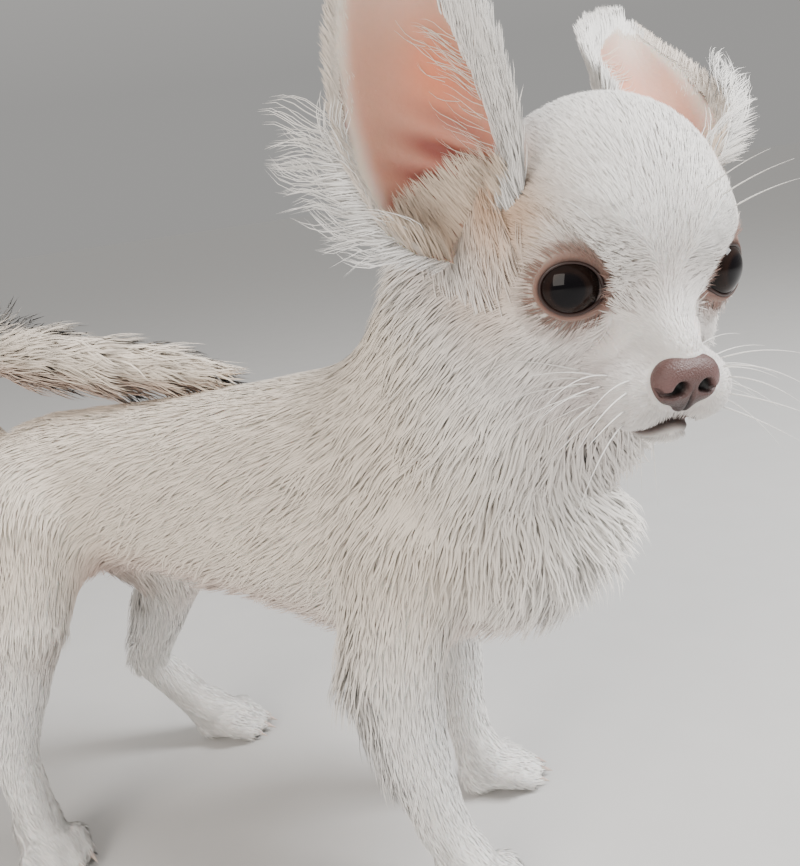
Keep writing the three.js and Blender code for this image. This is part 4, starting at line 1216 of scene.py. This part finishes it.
# The ears' hair: short and close on the back, longer along the front edge, thin down inside the
# tip, a fringe over the root and wavy wisps low on the outer side. Each tuft is rooted in the ear.
def ear_fur(
    name, ear, count, along_range, u_range, lie, face, length, width, rise, rings, colour, **more,
):
    """Hair on an ear: lie mixes the ways along, out over the rim and straight down."""
    s = random.uniform(*along_range, count)
    t = random.uniform(*u_range, count) * ear["inner"]
    place, normal, along, outward = ear_at(ear, s, t)
    outward = outward * ear["inner"]
    roots = from_head(place + normal * face * 0.5)
    edge = soft_step((np.abs(t) - 0.6) / 0.4)[:, None]
    rim_way = outward * np.sign(t * ear["inner"])[:, None]
    normals = unit(normal * face * (1 - 0.8 * edge) + (rim_way + normal * 0.5) * edge)
    lies = (along * lie[0] + outward * lie[1]) @ HEAD_TURN.T + np.array([0, 0, -lie[2]])
    patch = np.stack([0.5 + 0.4 * t, 0.05 + 0.9 * s], 1)
    colours = np.tile(np.array(colour), (count, 1))
    size = np.full(count, float(length)) * np.clip(0.75 + 0.25 * (1 - s), 0.5, 1)
    grow(
        name, roots, normals @ HEAD_TURN.T, lies, size, np.full(count, float(width)),
        np.full(count, float(rise)), rings, patch, colours=colours, **more,
    )


BEIGE = np.array([0.76, 0.67, 0.58])
ROOT_HAIR = np.array([0.78, 0.64, 0.51])
for name, ear in EARS.items():
    fur = name.replace("ear", "fur")
    ear_fur(
        fur + "_back", ear, 3800, (0.02, 1), (-0.95, 0.95), lie=(1, 0.1, 0), face=-1,
        length=6.5, width=0.8, rise=16, rings=3, colour=WHITE, clump=8,
    )
    ear_fur(
        fur + "_front_edge", ear, 2100, (0.02, 1), (0.6, 1), lie=(0.95, 0.3, 0), face=1,
        length=11, width=0.5, rise=20, rings=4, colour=WHITE, clump=9, strength=0.5,
    )
    ear_fur(
        fur + "_front_rim", ear, 1000, (0.02, 1), (0.9, 1), lie=(0.85, 0.7, 0), face=-1,
        length=13, width=0.5, rise=24, rings=5, colour=WHITE, clump=9, strength=0.5,
    )
    ear_fur(
        fur + "_rear_edge", ear, 1500, (0.1, 1), (-1, -0.86), lie=(1, -0.45, 0), face=1,
        length=6, width=0.45, rise=20, rings=3, colour=BEIGE, clump=6,
    )
    ear_fur(
        fur + "_inside", ear, 80, (0.08, 0.6), (0.35, 0.8), lie=(0.8, -0.6, 0.2), face=1,
        length=17, width=0.22, rise=24, rings=7, colour=BEIGE, clump=2, wave=1.2,
    )
    ear_fur(
        fur + "_down", ear, 1300, (0.5, 0.98), (-0.85, 0.85), lie=(1, 0, 0), face=1,
        length=3.2, width=0.3, rise=12, rings=3, colour=EAR_EDGE, clump=5,
    )
    ear_fur(
        fur + "_tip", ear, 240, (0.93, 1), (-1, 1), lie=(1, 0, 0), face=1,
        length=6, width=0.5, rise=14, rings=3, colour=WHITE, clump=6,
    )
    ear_fur(
        fur + "_lower", ear, 420, (0, 0.42), (-1, -0.8), lie=(0.5, -0.8, 0.3), face=1,
        length=11, width=0.45, rise=24, rings=5, colour=WHITE, clump=8,
    )
    ear_fur(
        fur + "_root", ear, 1400, (0, 0.2), (-1, 1), lie=(1, -0.2, 0), face=1,
        length=12, width=0.5, rise=18, rings=5, colour=ROOT_HAIR, clump=9, strength=0.45,
    )
    ear_fur(
        fur + "_feather", ear, 210, (0.06, 0.5), (-1, -0.86), lie=ear["feather"], face=-1,
        length=26, width=0.34, rise=22, rings=7, colour=WHITE,
        clump=6, strength=0.6, wave=2.4, droop=0.12,
    )


# The hair round each ear's foot stands up and hides where the ear leaves the head.
foot = np.zeros(len(skin_points))
for side in (1, -1):
    reach = np.linalg.norm((skin_local - [-1, side * 33, -9]) / [15, 13, 13], axis=1)
    foot = np.maximum(foot, portion(1.3 - reach))
every = np.ones(len(foot))
upward = np.stack([-0.35 * every, np.sign(skin_local[:, 1]) * 0.1, every], 1)
cover(
    "coat_ear_foot", 2400, foot[skin_faces].mean(1) + 1e-9, 5, 0.5,
    lie=upward @ HEAD_TURN.T, length=12.5 * every, lean=24.0 * every, clump=9, strength=0.4, wave=0.5,
)

# Whiskers: stiff white tapered hairs on the lips, the brows and under the chin. Each is a thin
# tube that starts just under the skin and sags a little towards its tip.
WHISKER_SUNK, WHISKER_ROOT, WHISKER_TIP = 0.55, 0.2, 0.03
whisker_lines, whisker_sizes = [], []


def bare_head(local):
    return flesh(from_head(local)) + WHISKER_SUNK


def whisker(root, way, length, sag):
    root = settle(bare_head, np.array([root], float), 5)[0]
    t = np.linspace(0, 1, 12)[:, None]
    line = from_head(root + unit(way) * length * t)
    line[:, 2] -= (sag * length * t ** 2)[:, 0]
    whisker_lines.append(line)
    whisker_sizes.append(WHISKER_ROOT * (1 - t[:, 0]) + WHISKER_TIP)


for side in (1, -1):
    for row in range(4):
        for i in range(4):
            root = (40 - 4.2 * i, side * (12 + 2.2 * i), -28 - 2.4 * row)
            way = (0.55 - 0.35 * i, side * 1.0, 0.25 - 0.2 * row + random.uniform(-0.1, 0.1))
            whisker(root, way, random.uniform(15, 26), random.uniform(0.1, 0.5))
    for i in range(3):
        way = (0.5, side * (0.5 + 0.2 * i), 0.7)
        whisker((27, side * (9 + 4 * i), 12 - 2 * i), way, random.uniform(14, 20), 0.15)
for i in range(4):
    whisker((31 - 4 * i, 2 - i, -47), (0.15 - 0.1 * i, 0.1, -1), random.uniform(14, 22), 0.1)
whiskers = tubes("whiskers", whisker_lines, whisker_sizes, 5)
whiskers.data.materials.append(toned("whisker", (0.86, 0.84, 0.8), 0.18, Roughness=0.4))

# The stage: a plain pale studio floor, a large soft light high in front of the dog and a
# weaker, warm one on the side that the camera sees, under a pale sky.
floor_mesh = bmesh.new()
bmesh.ops.create_grid(floor_mesh, x_segments=2, y_segments=2, size=12)
floor_data = bpy.data.meshes.new("floor")
floor_mesh.to_mesh(floor_data)
floor_mesh.free()
floor = link(floor_data, "floor")
floor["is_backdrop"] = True
pale_floor = mottled("pale_floor", 40, (0.6, 0.595, 0.585), (0.64, 0.635, 0.625), Roughness=0.8)
floor_data.materials.append(pale_floor)


def softbox(name, place, energy, size, colour):
    data = bpy.data.lights.new(name, "AREA")
    data.energy = energy
    data.size = size
    data.color = colour
    lamp = bpy.data.objects.new(name, data)
    bpy.context.scene.collection.objects.link(lamp)
    lamp.location = place
    lamp.rotation_euler = (Vector((0, 0, 0.15)) - lamp.location).to_track_quat("-Z", "Y").to_euler()


softbox("key", (0.75, 0.1, 0.85), 19, 0.5, (1, 1, 1))
softbox("fill", (-0.25, -1.1, 0.65), 11, 0.8, (1, 0.92, 0.84))
world = bpy.data.worlds.new("studio")
bpy.context.scene.world = world
world.use_nodes = True
sky = world.node_tree.nodes["Background"]
where = node(world.node_tree, "ShaderNodeTexCoord")
parts = node(world.node_tree, "ShaderNodeSeparateXYZ")
height = node(world.node_tree, "ShaderNodeValToRGB")
height.color_ramp.elements[0].position = 0.12
height.color_ramp.elements[0].color = (0.6, 0.59, 0.575, 1)
height.color_ramp.elements[1].position = 0.5
height.color_ramp.elements[1].color = (0.98, 0.96, 0.93, 1)
world.node_tree.links.new(where.outputs["Generated"], parts.inputs[0])
world.node_tree.links.new(parts.outputs["Z"], height.inputs["Fac"])
world.node_tree.links.new(height.outputs["Color"], sky.inputs[0])
sky.inputs[1].default_value = 0.6
new_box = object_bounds()
sizes = {"cad": cad_box, "visual": new_box}
sizes = {name: [list(map(float, corner)) for corner in box] for name, box in sizes.items()}
